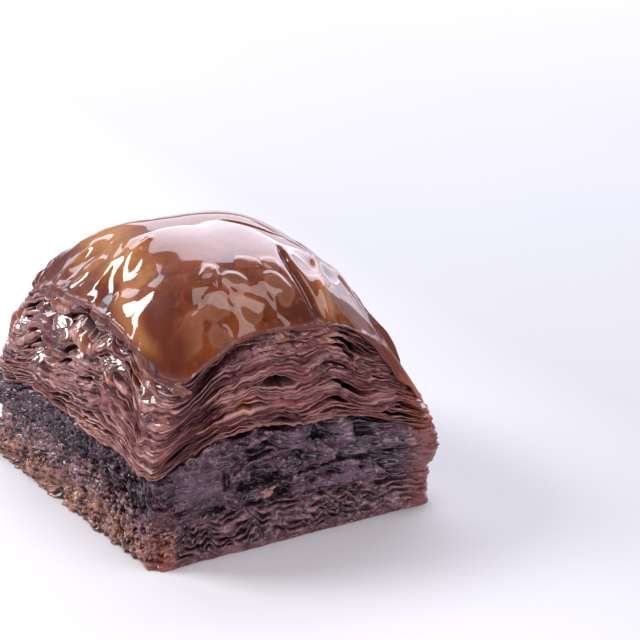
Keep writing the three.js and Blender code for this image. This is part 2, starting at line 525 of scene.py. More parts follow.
class Wiring:
    """A tree of nodes, which grows one node at a time."""

    def __init__(self, tree: NodeTree) -> None:
        """Take over a tree."""
        self.tree = tree

    def node(self, kind: str, feeds: dict[str | int, object] | None = None, **settings: object) -> Node:
        """Add a node.

        Args:
            kind: Its type.
            feeds: What its sockets are linked to or hold, by name or number.
            **settings: Its other settings.

        Returns:
            The node.
        """
        node = self.tree.nodes.new(kind)
        for name, value in settings.items():
            setattr(node, name, value)
        for name, value in (feeds or {}).items():
            self.feed(node.inputs[name], value)
        return node

    def feed(self, socket: NodeSocket, value: object) -> None:
        """Link a socket to another, or set its value.

        Args:
            socket: The socket.
            value: The other socket, or the value.
        """
        if isinstance(value, NodeSocket):
            self.tree.links.new(value, socket)
        elif isinstance(value, tuple) and len(value) == 3 and socket.type == "RGBA":
            socket.default_value = (*value, 1.0)
        else:
            socket.default_value = value

    def times(self, first: object, second: object) -> NodeSocket:
        """The product of two numbers."""
        return self.node("ShaderNodeMath", {0: first, 1: second}, operation="MULTIPLY").outputs[0]

    def plus(self, first: object, second: object) -> NodeSocket:
        """The sum of two numbers."""
        return self.node("ShaderNodeMath", {0: first, 1: second}, operation="ADD").outputs[0]


class Shader(Wiring):
    """A material's tree, with the textures and mixes that the finishes share."""

    def __init__(self, name: str) -> None:
        """Start a material with a bare Principled surface.

        Args:
            name: The material's name.
        """
        self.material = bpy.data.materials.new(name)
        self.material.use_nodes = True
        super().__init__(self.material.node_tree)
        self.surface = self.tree.nodes["Principled BSDF"]
        self.place = self.node("ShaderNodeTexCoord").outputs["Object"]

    def set(self, **values: object) -> None:
        """Set sockets of the surface; a low line in a name stands for a space."""
        for name, value in values.items():
            self.feed(self.surface.inputs[name.replace("_", " ")], value)

    def tag(self, name: str) -> NodeSocket:
        """A value that the mesh carries."""
        return self.node("ShaderNodeAttribute", attribute_name=name).outputs["Fac"]

    def glow(self) -> NodeSocket:
        """How far light shines through a thin corner, in streaks along the layers."""
        streaks = self.noise(2.2, 3.0, 0.6, stretch=(1, 1, 5))
        return self.times(self.tag("glow"), self.span(streaks, 0.36, 0.6, 0.35, 0.9))

    def axis(self, name: str) -> NodeSocket:
        """Each place's distance from the origin along one axis."""
        return self.node("ShaderNodeSeparateXYZ", {0: self.place}).outputs[name]

    def noise(self, size: float, detail: float = 3.0, roughness: float = 0.55, stretch: Triple = (1, 1, 1),
              distortion: float = 0.0) -> NodeSocket:
        """Cloudy noise.

        Args:
            size: Length of its features in millimetres.
            detail: How many finer sizes it has.
            roughness: How strong these are.
            stretch: How many times finer it is along each axis.
            distortion: How far it is stirred.

        Returns:
            Its value, about 0.5 on average.
        """
        mapping = self.node("ShaderNodeMapping", {
            "Vector": self.place, "Scale": tuple(1 / (size * MM) * axis for axis in stretch)})
        return self.node("ShaderNodeTexNoise", {
            "Vector": mapping.outputs[0], "Scale": 1.0, "Detail": detail, "Roughness": roughness,
            "Distortion": distortion}).outputs["Fac"]

    def span(self, value: NodeSocket | str, low: float, high: float, start: float = 0.0,
             end: float = 1.0) -> NodeSocket:
        """Map a value from one range to another, and hold it there.

        Args:
            value: The value, or the name of one that the mesh carries.
            low: Where it starts.
            high: Where it ends.
            start: What low becomes.
            end: What high becomes.

        Returns:
            The new value.
        """
        value = self.tag(value) if isinstance(value, str) else value
        return self.node("ShaderNodeMapRange", {
            "From Min": low, "From Max": high, "To Min": start, "To Max": end, "Value": value},
            clamp=True).outputs[0]

    def mix(self, share: object, first: object, second: object) -> NodeSocket:
        """A colour between two."""
        return self.node("ShaderNodeMix", {0: share, 6: first, 7: second}, data_type="RGBA").outputs[2]

    def lay(self, ground: object, colour: Colour, value: NodeSocket | str, low: float, high: float,
            most: float = 1.0) -> NodeSocket:
        """Lay a colour over another.

        Args:
            ground: The colour below.
            colour: The colour that is laid on it.
            value: What says where it lies, as for span.
            low: The value where it starts to show.
            high: The value where it shows most.
            most: How much of it shows there.

        Returns:
            The two colours together.
        """
        return self.mix(self.span(value, low, high, 0.0, most), ground, colour)

    def bump(self, height: NodeSocket, depth: float, strength: float) -> NodeSocket:
        """A normal from a height, with its depth in millimetres and how much of it shows."""
        feeds = {"Height": height, "Distance": depth * MM, "Strength": strength}
        return self.node("ShaderNodeBump", feeds).outputs[0]


@dataclass(frozen=True)
class CrustFinish:
    """Baked top sheet under a thick, clear syrup glaze, with a painted reflection on the blisters and
    painted shade in the valleys.
    """

    amber: Colour = (0.235, 0.046, 0.006)
    ochre: Colour = (0.52, 0.22, 0.07)
    deep: Colour = (0.1, 0.016, 0.004)
    mauve: Colour = (0.17, 0.06, 0.05)
    valley_shade: Colour = (0.13, 0.022, 0.007)
    rose: Colour = (0.2, 0.058, 0.044)
    blister: Colour = (0.31, 0.122, 0.066)
    glow: Colour = (0.46, 0.15, 0.075)

    def material(self) -> Material:
        """Build it.

        Returns:
            The material.
        """
        shader = Shader("glazed_crust")
        cloud = shader.noise(5.5, 4.0, 0.6, distortion=0.8)
        spots = shader.noise(1.3, 3.0, 0.6)
        crown = shader.span(shader.axis("Z"), 0.0372, 0.039, 0.0, 0.5)
        colour = shader.mix(shader.span(cloud, 0.38, 0.6), self.deep, self.amber)
        pale = shader.plus(shader.tag("pale"), shader.span(spots, 0.35, 0.75, -0.3, 0.3))
        colour = shader.lay(colour, self.ochre, pale, 0.0, 1.0, 0.9)
        colour = shader.mix(crown, colour, self.amber)
        # Painted reflection: paler patches on the blister tops stand in for the front light's reflection in
        # the glaze.
        colour = shader.lay(colour, self.blister, "blister", 0.0, 1.0, 0.8)
        colour = shader.lay(colour, self.ochre, "ridge", 0.1, 0.8, 0.55)
        # Painted shade: the valley value darkens creases, dents and dark patches, where shade falls.
        colour = shader.lay(colour, self.valley_shade, "valley", 0.1, 0.8, 0.95)
        colour = shader.lay(colour, self.mauve, "rim", 0.0, 1.0, 0.8)
        colour = shader.lay(colour, self.rose, "tongue", 0.0, 0.6, 0.8)
        colour = shader.lay(colour, self.glow, "tip", 0.0, 1.0, 0.8)
        grain = shader.noise(0.45, 3.0, 0.6)
        shader.set(
            Base_Color=colour,
            Roughness=shader.span(spots, 0.3, 0.7, 0.4, 0.6),
            IOR=1.3, Specular_IOR_Level=0.2,
            Coat_Weight=shader.span("rim", 0.2, 0.9, 1.0, 0.35),
            Coat_Roughness=0.045, Coat_IOR=1.5,
            Normal=shader.bump(grain, 0.05, 0.6),
        )
        return shader.material


@dataclass(frozen=True)
class SheetFinish:
    """Thin cocoa pastry sheets: painted shade between them, a painted highlight on their upper edges, wet in
    patches.
    """

    # Near-black: painted shade between the sheets.
    gap: Colour = (0.012, 0.004, 0.005)
    body: Colour = (0.245, 0.072, 0.076)
    # Dark sheets at random, and the painted shade beside the south-west corner.
    shade: Colour = (0.08, 0.02, 0.026)
    smear: Colour = (0.05, 0.016, 0.024)
    # A paler sheet colour, and also the painted highlight on the sheets' upper edges.
    light: Colour = (0.72, 0.39, 0.35)
    syrup: Colour = (0.36, 0.085, 0.014)
    glow: Colour = (0.42, 0.115, 0.055)

    def material(self) -> Material:
        """Build it.

        Returns:
            The material.
        """
        shader = Shader("cocoa_sheets")
        streaks = shader.noise(3.2, 4.0, 0.65, stretch=(1, 1, 6))
        cloud = shader.noise(4.5, 3.0, 0.6)
        blots = shader.noise(3.4, 4.0, 0.6, distortion=0.7)
        edge, wet = shader.tag("edge"), shader.tag("wet")
        tone = shader.plus(shader.tag("tone"), shader.span(streaks, 0.3, 0.7, -0.35, 0.35))
        body = shader.mix(shader.span(tone, 0.1, 0.62), self.shade, self.body)
        body = shader.lay(body, self.light, tone, 0.6, 1.05, 0.5)
        body = shader.lay(body, self.smear, blots, 0.55, 0.68, 0.7)
        body = shader.lay(body, self.syrup, wet, 0.4, 0.95, 0.9)
        # Painted shade: where the edge value is low, on a sheet's underside and further in, the near-black
        # gap colour stands for shade between the sheets.
        colour = shader.mix(shader.span(edge, 0.05, 0.5), self.gap, body)
        # Painted highlight: the upper edge of a sheet beside a gap takes the light colour, as if lit from
        # above.
        rim = shader.times(shader.span(edge, 0.72, 0.98), shader.span(cloud, 0.3, 0.6, 0.3, 0.9))
        colour = shader.mix(rim, colour, self.light)
        colour = shader.mix(shader.glow(), colour, self.glow)
        fine = shader.noise(0.4, 4.0, 0.7, stretch=(1, 1, 3))
        shader.set(
            Base_Color=colour,
            Roughness=shader.span(wet, 0.1, 0.9, 0.5, 0.18),
            IOR=1.4, Specular_IOR_Level=0.35, Subsurface_Weight=0.2,
            Subsurface_Radius=(1.0, 0.35, 0.25), Subsurface_Scale=0.0012,
            Coat_Weight=shader.span(wet, 0.1, 0.7, 0.15, 1.0),
            Coat_Roughness=0.06,
            Normal=shader.bump(fine, 0.22, 0.8),
        )
        return shader.material


@dataclass(frozen=True)
class ChocolateFinish:
    """Moist, dark chocolate and ground nuts, with a painted sheen, painted highlights on crests and specks,
    and painted shade in hollows.
    """

    black: Colour = (0.006, 0.002, 0.004)
    brown: Colour = (0.088, 0.024, 0.04)
    mauve: Colour = (0.156, 0.08, 0.124)
    crest: Colour = (0.34, 0.21, 0.27)
    glow: Colour = (0.38, 0.105, 0.065)

    def material(self) -> Material:
        """Build it.

        Returns:
            The material.
        """
        shader = Shader("chocolate_filling")
        torn = shader.tag("torn")
        lumps = shader.noise(1.7, 4.0, 0.6, stretch=(1, 1, 1.6))
        smears = shader.noise(4.2, 4.0, 0.55, stretch=(1, 1, 1.6), distortion=1.2)
        grains = shader.times(shader.noise(0.9, 5.0, 0.72), torn)
        colour = shader.mix(shader.span(lumps, 0.36, 0.62), self.black, self.brown)
        # Painted sheen: mauve laid by the smear noise stands in for reflections on the moist surface.
        colour = shader.lay(colour, self.mauve, smears, 0.48, 0.66, 0.35)
        # Painted highlight: specks of the light crest colour on the torn side stand for sparkle.
        speck = shader.times(shader.span(lumps, 0.58, 0.68), torn)
        colour = shader.mix(shader.times(speck, 0.6), colour, self.crest)
        # Painted sheen: mauve on the bulges, as a reflection on the smooth ledge.
        colour = shader.lay(colour, self.mauve, "sheen", 0.3, 0.9, 0.85)
        strokes = shader.span(shader.noise(0.55, 3.0, 0.6, stretch=(1, 1, 0.16)), 0.42, 0.62, 0.0, 0.25)
        strokes = shader.times(strokes, shader.span(torn, 0.1, 0.5, 1.0, 0.0))
        colour = shader.mix(strokes, colour, self.black)
        # Painted highlight: crests of folds and crinkles, and the upper torn side, take the crest colour.
        pale = shader.times(shader.tag("pale"), shader.span(lumps, 0.35, 0.6, 0.3, 1.0))
        colour = shader.mix(pale, colour, self.crest)
        # Painted shade: pits, cavities and cracks are laid near-black.
        colour = shader.lay(colour, self.black, "deep", 0.05, 0.6, 0.95)
        colour = shader.mix(shader.glow(), colour, self.glow)
        crinkles = shader.noise(2.4, 1.2, 0.45, stretch=(0.8, 1, 1.5), distortion=2.2)
        height = shader.plus(crinkles, shader.times(grains, 1.4))
        shader.set(
            Base_Color=colour,
            Roughness=shader.span(smears, 0.35, 0.6, 0.32, 0.2),
            IOR=1.5, Specular_IOR_Level=0.45, Specular_Tint=(1.0, 0.66, 0.88, 1.0),
            Coat_Weight=shader.span(torn, 0.2, 0.9, 0.9, 0.5),
            Coat_Roughness=0.06,
            Normal=shader.bump(height, 0.6, 1.0),
        )
        return shader.material


@dataclass(frozen=True)
class SoakedFinish:
    """Pressed sheets soaked with syrup and chocolate: dark and wet, toasted where they tore, with painted
    shade in grooves and pits and a painted highlight on crests.
    """

    gap: Colour = (0.01, 0.004, 0.005)
    body: Colour = (0.08, 0.024, 0.034)
    light: Colour = (0.46, 0.24, 0.255)
    flesh: Colour = (0.62, 0.35, 0.36)
    toast: Colour = (0.86, 0.4, 0.2)
    scorch: Colour = (0.14, 0.045, 0.03)
    rose: Colour = (0.13, 0.042, 0.052)
    glow: Colour = (0.3, 0.06, 0.03)

    def material(self) -> Material:
        """Build it.

        Returns:
            The material.
        """
        shader = Shader("soaked_sheets")
        torn = shader.tag("torn")
        lumps = shader.noise(1.3, 5.0, 0.65)
        cloud = shader.noise(3.4, 4.0, 0.6, distortion=0.6)
        colour = shader.mix(shader.span(cloud, 0.38, 0.62, 0.25, 1.0), self.gap, self.body)
        colour = shader.lay(colour, self.light, lumps, 0.5, 0.66, 0.45)
        toast = shader.mix(shader.span(lumps, 0.35, 0.6), self.scorch, self.toast)
        colour = shader.mix(shader.times(shader.span(lumps, 0.4, 0.6), torn), colour, self.flesh)
        colour = shader.mix(shader.span("toast", 0.1, 0.7, 0.0, 0.9), colour, toast)
        edge = shader.tag("edge")
        # Painted shade: the grooves between the pressed sheets take the near-black gap colour.
        colour = shader.mix(shader.span(edge, 0.3, 0.9, 0.9, 0.0), colour, self.gap)
        # Painted highlight: thin crest lines of the waves take the light colour.
        crest = shader.times(shader.span(edge, 0.9, 0.99), shader.span(lumps, 0.4, 0.6, 0.15, 0.8))
        colour = shader.mix(crest, colour, self.light)
        colour = shader.lay(colour, self.rose, "pale", 0.2, 0.9, 0.75)
        # Painted shade: pits and coarse crevices are laid near-black.
        colour = shader.lay(colour, self.gap, "deep", 0.1, 0.7, 0.9)
        colour = shader.mix(shader.glow(), colour, self.glow)
        crinkles = shader.noise(1.3, 1.5, 0.5, stretch=(1, 1, 2.2), distortion=1.2)
        gravel = shader.times(shader.noise(1.0, 5.0, 0.72), torn)
        height = shader.plus(crinkles, shader.times(gravel, 1.4))
        shader.set(
            Base_Color=colour,
            Roughness=shader.span(cloud, 0.3, 0.7, 0.2, 0.42),
            IOR=1.45, Specular_IOR_Level=0.6, Specular_Tint=(1.0, 0.7, 0.88, 1.0),
            Coat_Weight=shader.span(cloud, 0.35, 0.6, 0.8, 0.5),
            Coat_Roughness=0.06,
            Normal=shader.bump(height, 0.36, 1.0),
        )
        return shader.material


@dataclass(frozen=True)
class GrainFinish:
    """A small thing of one stuff in two tones, such as a crumb, a nut chip or a flake."""

    name: str
    first: Colour
    second: Colour
    roughness: float
    coat: float

    def material(self) -> Material:
        """Build it.

        Returns:
            The material.
        """
        shader = Shader(self.name)
        cloud = shader.noise(1.1, 4.0, 0.65)
        shader.set(
            Base_Color=shader.mix(shader.span(cloud, 0.35, 0.65), self.first, self.second),
            Roughness=shader.span(cloud, 0.2, 0.8, self.roughness - 0.1, self.roughness + 0.1),
            IOR=1.45,
            Coat_Weight=self.coat,
            Coat_Roughness=0.1,
            Normal=shader.bump(shader.noise(0.4, 3.0), 0.1, 0.7),
        )
        return shader.material


@dataclass(frozen=True)
class SyrupFinish:
    """Clear amber syrup in pools."""

    amber: Colour = (0.3, 0.115, 0.07)
    brown: Colour = (0.15, 0.06, 0.055)

    def material(self) -> Material:
        """Build it.

        Returns:
            The material.
        """
        shader = Shader("syrup")
        cloud = shader.noise(2.0, 2.0)
        shader.set(
            Base_Color=shader.mix(shader.span(cloud, 0.3, 0.7), self.amber, self.brown),
            Roughness=0.2, IOR=1.48,
            Transmission_Weight=shader.span(cloud, 0.2, 0.8, 0.0, 0.25),
            Coat_Weight=1.0, Coat_Roughness=0.07,
            Normal=shader.bump(shader.noise(0.8, 2.0), 0.04, 0.4),
        )
        return shader.material


# Layers

@dataclass(frozen=True)
class Crease:
    """A fold of the crust along a path: a ridge, or a valley where its height is negative."""

    path: tuple[Pair, ...]
    width: float
    height: float

    def lift(self, flat: Array) -> Array:
        """How far it lifts the crust. It fades out at its ends.

        Args:
            flat: Places, with x and y first.

        Returns:
            One height for each place.
        """
        points = np.array(self.path)
        lengths = np.hypot(*(points[1:] - points[:-1]).T)
        starts = np.concatenate([[0], np.cumsum(lengths)[:-1]])
        nearest = np.full(flat.shape[:-1], np.inf)
        along = np.zeros(flat.shape[:-1])
        for start, end, length, before in zip(points[:-1], points[1:], lengths, starts):
            offset = flat[..., :2] - start
            share = np.clip(offset @ (end - start) / length ** 2, 0, 1)
            away = np.hypot(*np.moveaxis(offset - share[..., None] * (end - start), -1, 0))
            closer = away < nearest
            nearest = np.where(closer, away, nearest)
            along = np.where(closer, (before + share * length) / lengths.sum(), along)
        taper = np.sin(math.pi * np.clip(along, 0.03, 0.97)) ** 0.4
        return self.height * taper * np.exp(-(nearest / (self.width * taper)) ** 2)


@dataclass(frozen=True)
class CrustRelief:
    """The shape of the crust's upper side: a dome with folds, dents, blisters and slow waves."""

    form: Form
    undulation: float = 0.3
    film: float = 0.17
    blister_height: float = 0.26

    SWELLINGS = table(
        Bump, (-9.4, -13.1, 6.1, 0.7), (-15.0, -2.2, 4.0, -1.0), (-13.5, 9.2, 4.0, -0.9),
        (-11.3, 3.5, 2.8, 0.6), (0.9, -15.7, 5.2, 0.5), (11.7, -12.0, 3.0, -1.1), (15.8, -10.9, 2.8, 0.5),
        (10.3, 5.5, 6.0, 0.6), (1.9, 15.3, 4.8, -0.7), (-5.6, 2.2, 8.0, 0.4),
    )
    DENTS = table(
        Bump, (-17.0, 5.2, 2.4, -0.6), (-16.4, -1.0, 2.2, -0.6), (-17.4, 10.0, 2.1, -0.6),
        (-15.2, 17.0, 2.6, -0.8, 3), (-13.4, 10.5, 2.2, -0.5, 3), (-18.2, 14.2, 1.6, -0.6, 3),
        (-12.6, 4.4, 1.7, -0.4, 3), (17.0, 8.0, 2.6, -0.6, 3), (12.0, 18.5, 2.8, -0.6, 3),
    )
    BLISTERS = table(
        Bump, (-12.6, -18.4, 2.5, 1.0, 6), (-8.0, -17.2, 2.1, 1.0, 6), (-8.8, -20.9, 1.5, 1.0, 6),
        (-3.2, -19.2, 2.0, 1.0, 6), (-3.4, -14.8, 1.9, 1.0, 6), (2.6, -17.0, 2.5, 1.0, 6),
        (-6.0, -11.6, 1.4, 1.0, 6), (0.2, -12.0, 1.5, 1.0, 6), (3.6, -12.4, 1.6, 1.0, 6),
        (15.5, -4.0, 2.2, 0.7, 6), (14.0, 9.0, 2.2, 0.7, 6),
    )
    # Pale patches; those with a negative height are dark patches that join the painted shade of the valleys.
    PALE = table(
        Bump, (-12.0, 9.0, 5.5, 1.0), (-7.7, 14.5, 5.0, 0.8), (-12.0, 1.5, 3.4, 0.9),
        (-13.4, -4.6, 2.4, 0.7), (11.0, -14.5, 1.8, 0.7), (9.2, -19.6, 1.5, 0.7), (-4.3, -17.5, 2.2, 0.4),
        (-11.8, -18.6, 2.0, 0.2), (-15.4, -13.0, 2.9, -1.0), (-3.0, -13.4, 5.0, -0.45),
        (-17.6, 12.8, 1.8, -0.6), (10.0, 8.0, 7.0, 0.35), (0.0, 15.0, 6.0, 0.3), (14.0, 14.0, 4.0, -0.4),
        (-15.8, -18.6, 3.2, -1.0),
    )
    CREASES = table(
        Crease,
        (((-16.6, -19.0), (-17.7, -15.1), (-17.9, -12.0), (-17.6, -8.6), (-16.2, -4.2),
          (-14.3, -1.2), (-11.9, 0.5), (-8.5, 1.5)), 1.5, 0.55),
        (((-18.6, 3.2), (-16.6, 2.2), (-14.2, 2.9), (-11.5, 5.0)), 0.9, 0.35),
        (((-19.0, 8.2), (-16.6, 7.6), (-14.0, 7.4), (-11.0, 9.0)), 0.9, 0.3),
        (((-18.6, 12.6), (-15.8, 13.2), (-12.4, 13.0)), 0.9, 0.3),
        (((7.6, -8.6), (6.9, -11.6), (6.6, -13.8), (6.6, -16.3), (6.6, -19.2), (6.5, -22.5)), 0.75, -1.15),
        (((13.4, -8.6), (12.2, -11.7), (10.8, -15.1), (9.3, -18.9), (8.6, -21.0), (8.4, -22.5)), 0.9, 0.6),
        (((3.6, 2.4), (6.4, -0.4), (9.2, -3.4), (12.4, -4.4)), 0.42, -0.32),
        (((8.6, 1.8), (11.2, -1.2), (14.6, -2.6)), 0.4, -0.3),
        (((10.6, -4.6), (12.8, -6.4), (15.6, -7.4)), 0.4, -0.3),
        (((-6.4, -15.2), (-5.6, -13.2), (-4.9, -11.8)), 0.5, 0.22),
        (((17.8, -16.5), (16.6, -11.0), (17.3, -5.0)), 0.9, 0.4),
        (((-4.0, 22.0), (-2.0, 16.0), (-3.0, 10.0)), 0.9, -0.6),
        (((16.0, 3.0), (12.0, 6.0), (10.0, 12.0)), 0.9, -0.5),
    )

    def blisters(self, flat: Array) -> Array:
        """How far places lie on a blister, from 0 to 1."""
        drift = np.stack([rough_noise(flat + 60.0 * axis, 3.4, 540, 2) for axis in (1, 2)], axis=-1)
        return sum(blister.lift(flat[..., :2] + 0.7 * drift) for blister in self.BLISTERS)

    def lift(self, flat: Array) -> Array:
        """How far the relief lifts the dome.

        Args:
            flat: Places, with x and y first.

        Returns:
            One height for each place.
        """
        points = np.concatenate([flat[..., :2], self.form.crust.height(flat)[..., None]], axis=-1)
        forms = (*self.SWELLINGS, *self.DENTS, *self.CREASES)
        slow = self.undulation * rough_noise(points, 8.5, 500, 1)
        straight = np.array(self.form.outline.half) - self.form.STACK_LEAN
        steep = smooth_step(0.5, 0.95, np.abs(flat[..., :2]) / straight).max(axis=-1)
        west = smooth_step(2.0, -8.0, flat[..., 0] + 0.25 * flat[..., 1])
        dimpled = west * smooth_step(-13.0, -6.0, flat[..., 1])
        film = self.film * (0.06 + (0.12 + 0.9 * west + 0.3 * dimpled) * steep) * (
            rough_noise(points, 5.6, 520, 2) + 0.55 * dimpled * rough_noise(points, 2.4, 530, 1))
        blisters = self.blister_height * self.blisters(flat)
        return sum(shape.lift(flat) for shape in forms) + blisters + slow + film

    def height(self, flat: Array) -> Array:
        """The height of the crust over places."""
        return self.form.crust.height(flat) + self.lift(flat)

    def tags(self, flat: Array) -> Tags:
        """How far places lie on a blister or a ridge, in a valley or a pale patch.

        Args:
            flat: Places, with x and y first.

        Returns:
            Values from 0 to 1 for each place, by name.
        """
        folds = sum(shape.lift(flat) for shape in (*self.DENTS, *self.CREASES))
        pale = sum(patch.lift(flat) for patch in self.PALE)
        blisters = self.blisters(flat)
        # The blister value also lays a painted reflection in the crust's colour.
        return {"blister": smooth_step(0.3, 0.6, blisters) - 0.35 * smooth_step(0.75, 1.0, blisters),
                "ridge": np.clip(folds / 0.6, 0, 1),
                # Mask of painted shade in creases, dents and dark patches.
                "valley": np.clip(-folds / 1.1 - np.minimum(pale, 0), 0, 1),
                "pale": np.clip(pale, 0, 1)}


@dataclass(frozen=True)
class Lens:
    """A stretch of one gap or of one sheet that is thickest in its middle.

    It has a place on the outline, a share of the stack's height, a length and a height.
    """

    x: float
    y: float
    share: float
    length: float
    height: float

    EAST_EDGE = 22.3
    NORTH_EDGE = 25.3

    @classmethod
    def row(cls, side: Side, *places: tuple[float, float, float, float]) -> list["Lens"]:
        """Lay several on one side.

        Args:
            side: The side.
            *places: For each one its place along the side, its share, its length and its height.

        Returns:
            The lenses.
        """
        x, y = side.value
        return [cls(x * cls.EAST_EDGE + abs(y) * along, y * cls.NORTH_EDGE + abs(x) * along, *rest)
                for along, *rest in places]

    def lift(self, flat: Array) -> Array:
        """How thick it is at places."""
        along = away_from(flat, self.x, self.y) / (self.length / 2)
        return self.height * np.maximum(0, 1 - along ** 2)


@dataclass(frozen=True)
class Ruffle:
    """A crest that neighbouring sheets share, or a trough where its height is negative."""

    x: float
    y: float
    width: float
    share: float
    height: float
    share_reach: float = 0.34

    def lift(self, paths: Array, share: Array) -> Array:
        """How far it lifts sheets at places and shares of the height."""
        away = away_from(paths, self.x, self.y) / self.width
        return self.height * np.exp(-away ** 2 - ((share - self.share) / self.share_reach) ** 2)


@dataclass
class SheetStack:
    """Thin sheets that lie on each other, pressed into bundles here and gaping there.

    A sheet's edge is blunt and smooth where it is pressed, and rounded where a gap opens beside it.
    """

    form: Form
    floor: Array
    ceiling: Array
    roof: CrustRelief
    openings: Sequence[Lens]
    lobes: Sequence[Lens]
    ruffles: Sequence[Ruffle]
    hollows: Sequence[Ruffle]
    wave: Sides
    gape: Sides
    ragged: Sides
    curl: Sides
    swell: Sides
    wetness: Sides
    name: str = "flaky_sheets"
    count: int = 40
    pieces: int = 4
    break_share: float = 0.42
    thick_share: float = 0.3
    thick_factor: float = 2.3
    wave_size: float = 7.5
    gap_size: float = 6.5
    merge_size: float = 5.0
    closed_gap: float = 0.02
    gap_bias: float = 0.22
    slope_floor: float = 0.25
    slope_ceiling: float = 0.85
    reach: float = 4.4
    wave_centre: float = 0.62
    seed: int = 5

    BODY_EDGE = 0.6
    # Where painted shade darkens the sheets, beside the south-west corner.
    SHADED_VALLEY = (-15.0, -24.5)
    STRETCH = (1.0, 0.55, 1.0)

    # Each row of a sheet's section: distance inwards in thicknesses and as a share of the reach,
    # height as a share of the thickness, and how much it counts as an edge, gaping and pressed.
    # The edge value is low for painted shade between sheets and high for a painted highlight on the upper
    # edge.
    SECTION = (
        (0.0, 1.0, -0.5, 0.0, 0.0), (1.2, 0.06, -0.5, 0.05, 0.05), (0.45, 0.0, -0.48, 0.2, 0.2),
        (0.12, 0.0, -0.28, 0.35, 0.18), (0.0, 0.0, 0.05, 0.7, 0.66), (0.12, 0.0, 0.36, 1.0, 0.95),
        (0.4, 0.0, 0.49, 1.0, 0.85), (0.9, 0.03, 0.5, 0.6, 0.4), (1.2, 0.15, 0.5, 0.25, 0.2),
        (0.0, 1.0, 0.5, 0.0, 0.0),
    )

    @cached_property
    def shares(self) -> Array:
        """Each sheet's share of the height, before the gaps are uneven."""
        return (np.arange(self.count) + 0.5) / self.count

    @cached_property
    def paths(self) -> Array:
        """Where each sheet's edge runs, before it is ragged, by sheet and station."""
        return np.stack([
            self.form.outline.ring(self.form.lean(share), self.floor * (1 - share) + self.ceiling * share)
            for share in self.shares])

    @cached_property
    def bundles(self) -> Array:
        """The number of the pressed bundle that each sheet belongs to."""
        draw = np.random.default_rng(self.seed)
        return np.cumsum(draw.random(self.count) < self.break_share)

    def noise(self, spread: Array, size: float, seed: int, octaves: int = 2,
              paths: Array | None = None) -> Array:
        """Noise along the sheets' edges or the gaps.

        Args:
            spread: A number for each of them, in millimetres: how far apart two lie in the noise.
            size: Length of its features in millimetres.
            seed: Picks the pattern.
            octaves: How many sizes are added up.
            paths: Where they run, if not where the sheets do.

        Returns:
            One value for each of them and each station.
        """
        paths = self.paths if paths is None else paths
        points = np.stack(np.broadcast_arrays(paths[..., 0], paths[..., 1], spread[:, None]), axis=-1)
        return rough_noise(points * self.STRETCH, size, self.seed + seed, octaves)

    @cached_property
    def parts(self) -> tuple[Array, Array]:
        """Part the sheets. Gaps open at random between two bundles, and where an opening lies.

        Returns:
            The height of each gap, by gap and station, and how far each sheet is swollen.
        """
        outline = self.form.outline
        flat = self.paths[0, :, :2]
        parted = np.concatenate([[0.0], np.diff(self.bundles), [0.0]])
        fields = self.noise(17.0 * np.arange(self.count + 1), self.gap_size, 3, paths=self.paths[:1])
        gaps = self.closed_gap + (parted[:, None] * outline.by_side(self.gape)
                                  * np.maximum(0, fields - self.gap_bias))
        for opening in self.openings:
            gaps[round(opening.share * self.count)] += opening.lift(flat)
        layers = np.arange(self.count)
        high = smooth_step(0.35, 0.7, self.shares)[:, None]
        swollen = high * np.maximum(0, self.noise(2.3 * layers, 5.0, 17, 1) - 0.55)
        swollen = swollen * outline.by_side(self.swell)
        for lobe in self.lobes:
            swollen[min(int(lobe.share * self.count), self.count - 1)] += lobe.lift(flat)
        most = 0.5 * (self.ceiling - self.floor)
        share = np.minimum(1, most / (gaps.sum(axis=0) + swollen.sum(axis=0)))
        return gaps * share, swollen * share

    @cached_property
    def distinct(self) -> Array:
        """How clearly each gap shows, from 0 where two sheets are pressed into one, like the gaps."""
        fields = self.noise(13.0 * np.arange(self.count + 1), self.merge_size, 4, paths=self.paths[:1])
        return smooth_step(-0.45, 0.4, fields)

    @cached_property
    def thicknesses(self) -> Array:
        """Share out what the gaps leave between the sheets.

        Returns:
            The thickness of each sheet, by sheet and station.
        """
        gaps, swollen = self.parts
        draw = np.random.default_rng(self.seed + 1)
        factor = np.where(draw.random(self.count) < self.thick_share, self.thick_factor, 1.0)
        wander = np.clip(1 + 0.4 * self.noise(31.0 * np.arange(self.count), 5.0, 11), 0.5, 1.8)
        thick = factor[:, None] * wander
        room = self.ceiling - self.floor - gaps.sum(axis=0) - swollen.sum(axis=0)
        return thick * room / thick.sum(axis=0) + swollen

    @cached_property
    def heights(self) -> Array:
        """Lay the sheets on each other.

        Returns:
            The middle height of each sheet's edge, by sheet and station.
        """
        gaps = self.parts[0]
        tops = self.floor + np.cumsum(gaps[:-1], axis=0) + np.cumsum(self.thicknesses, axis=0)
        tops += 0.09 * self.noise(7.0 * self.bundles, 1.0, 64)
        return tops - self.thicknesses / 2 + self.wave_at(self.paths, self.shares[:, None])

    @cached_property
    def looseness(self) -> Array:
        """How far each gap gapes, from 0 to 1, by gap and station."""
        return smooth_step(0.03, 0.28, self.parts[0])

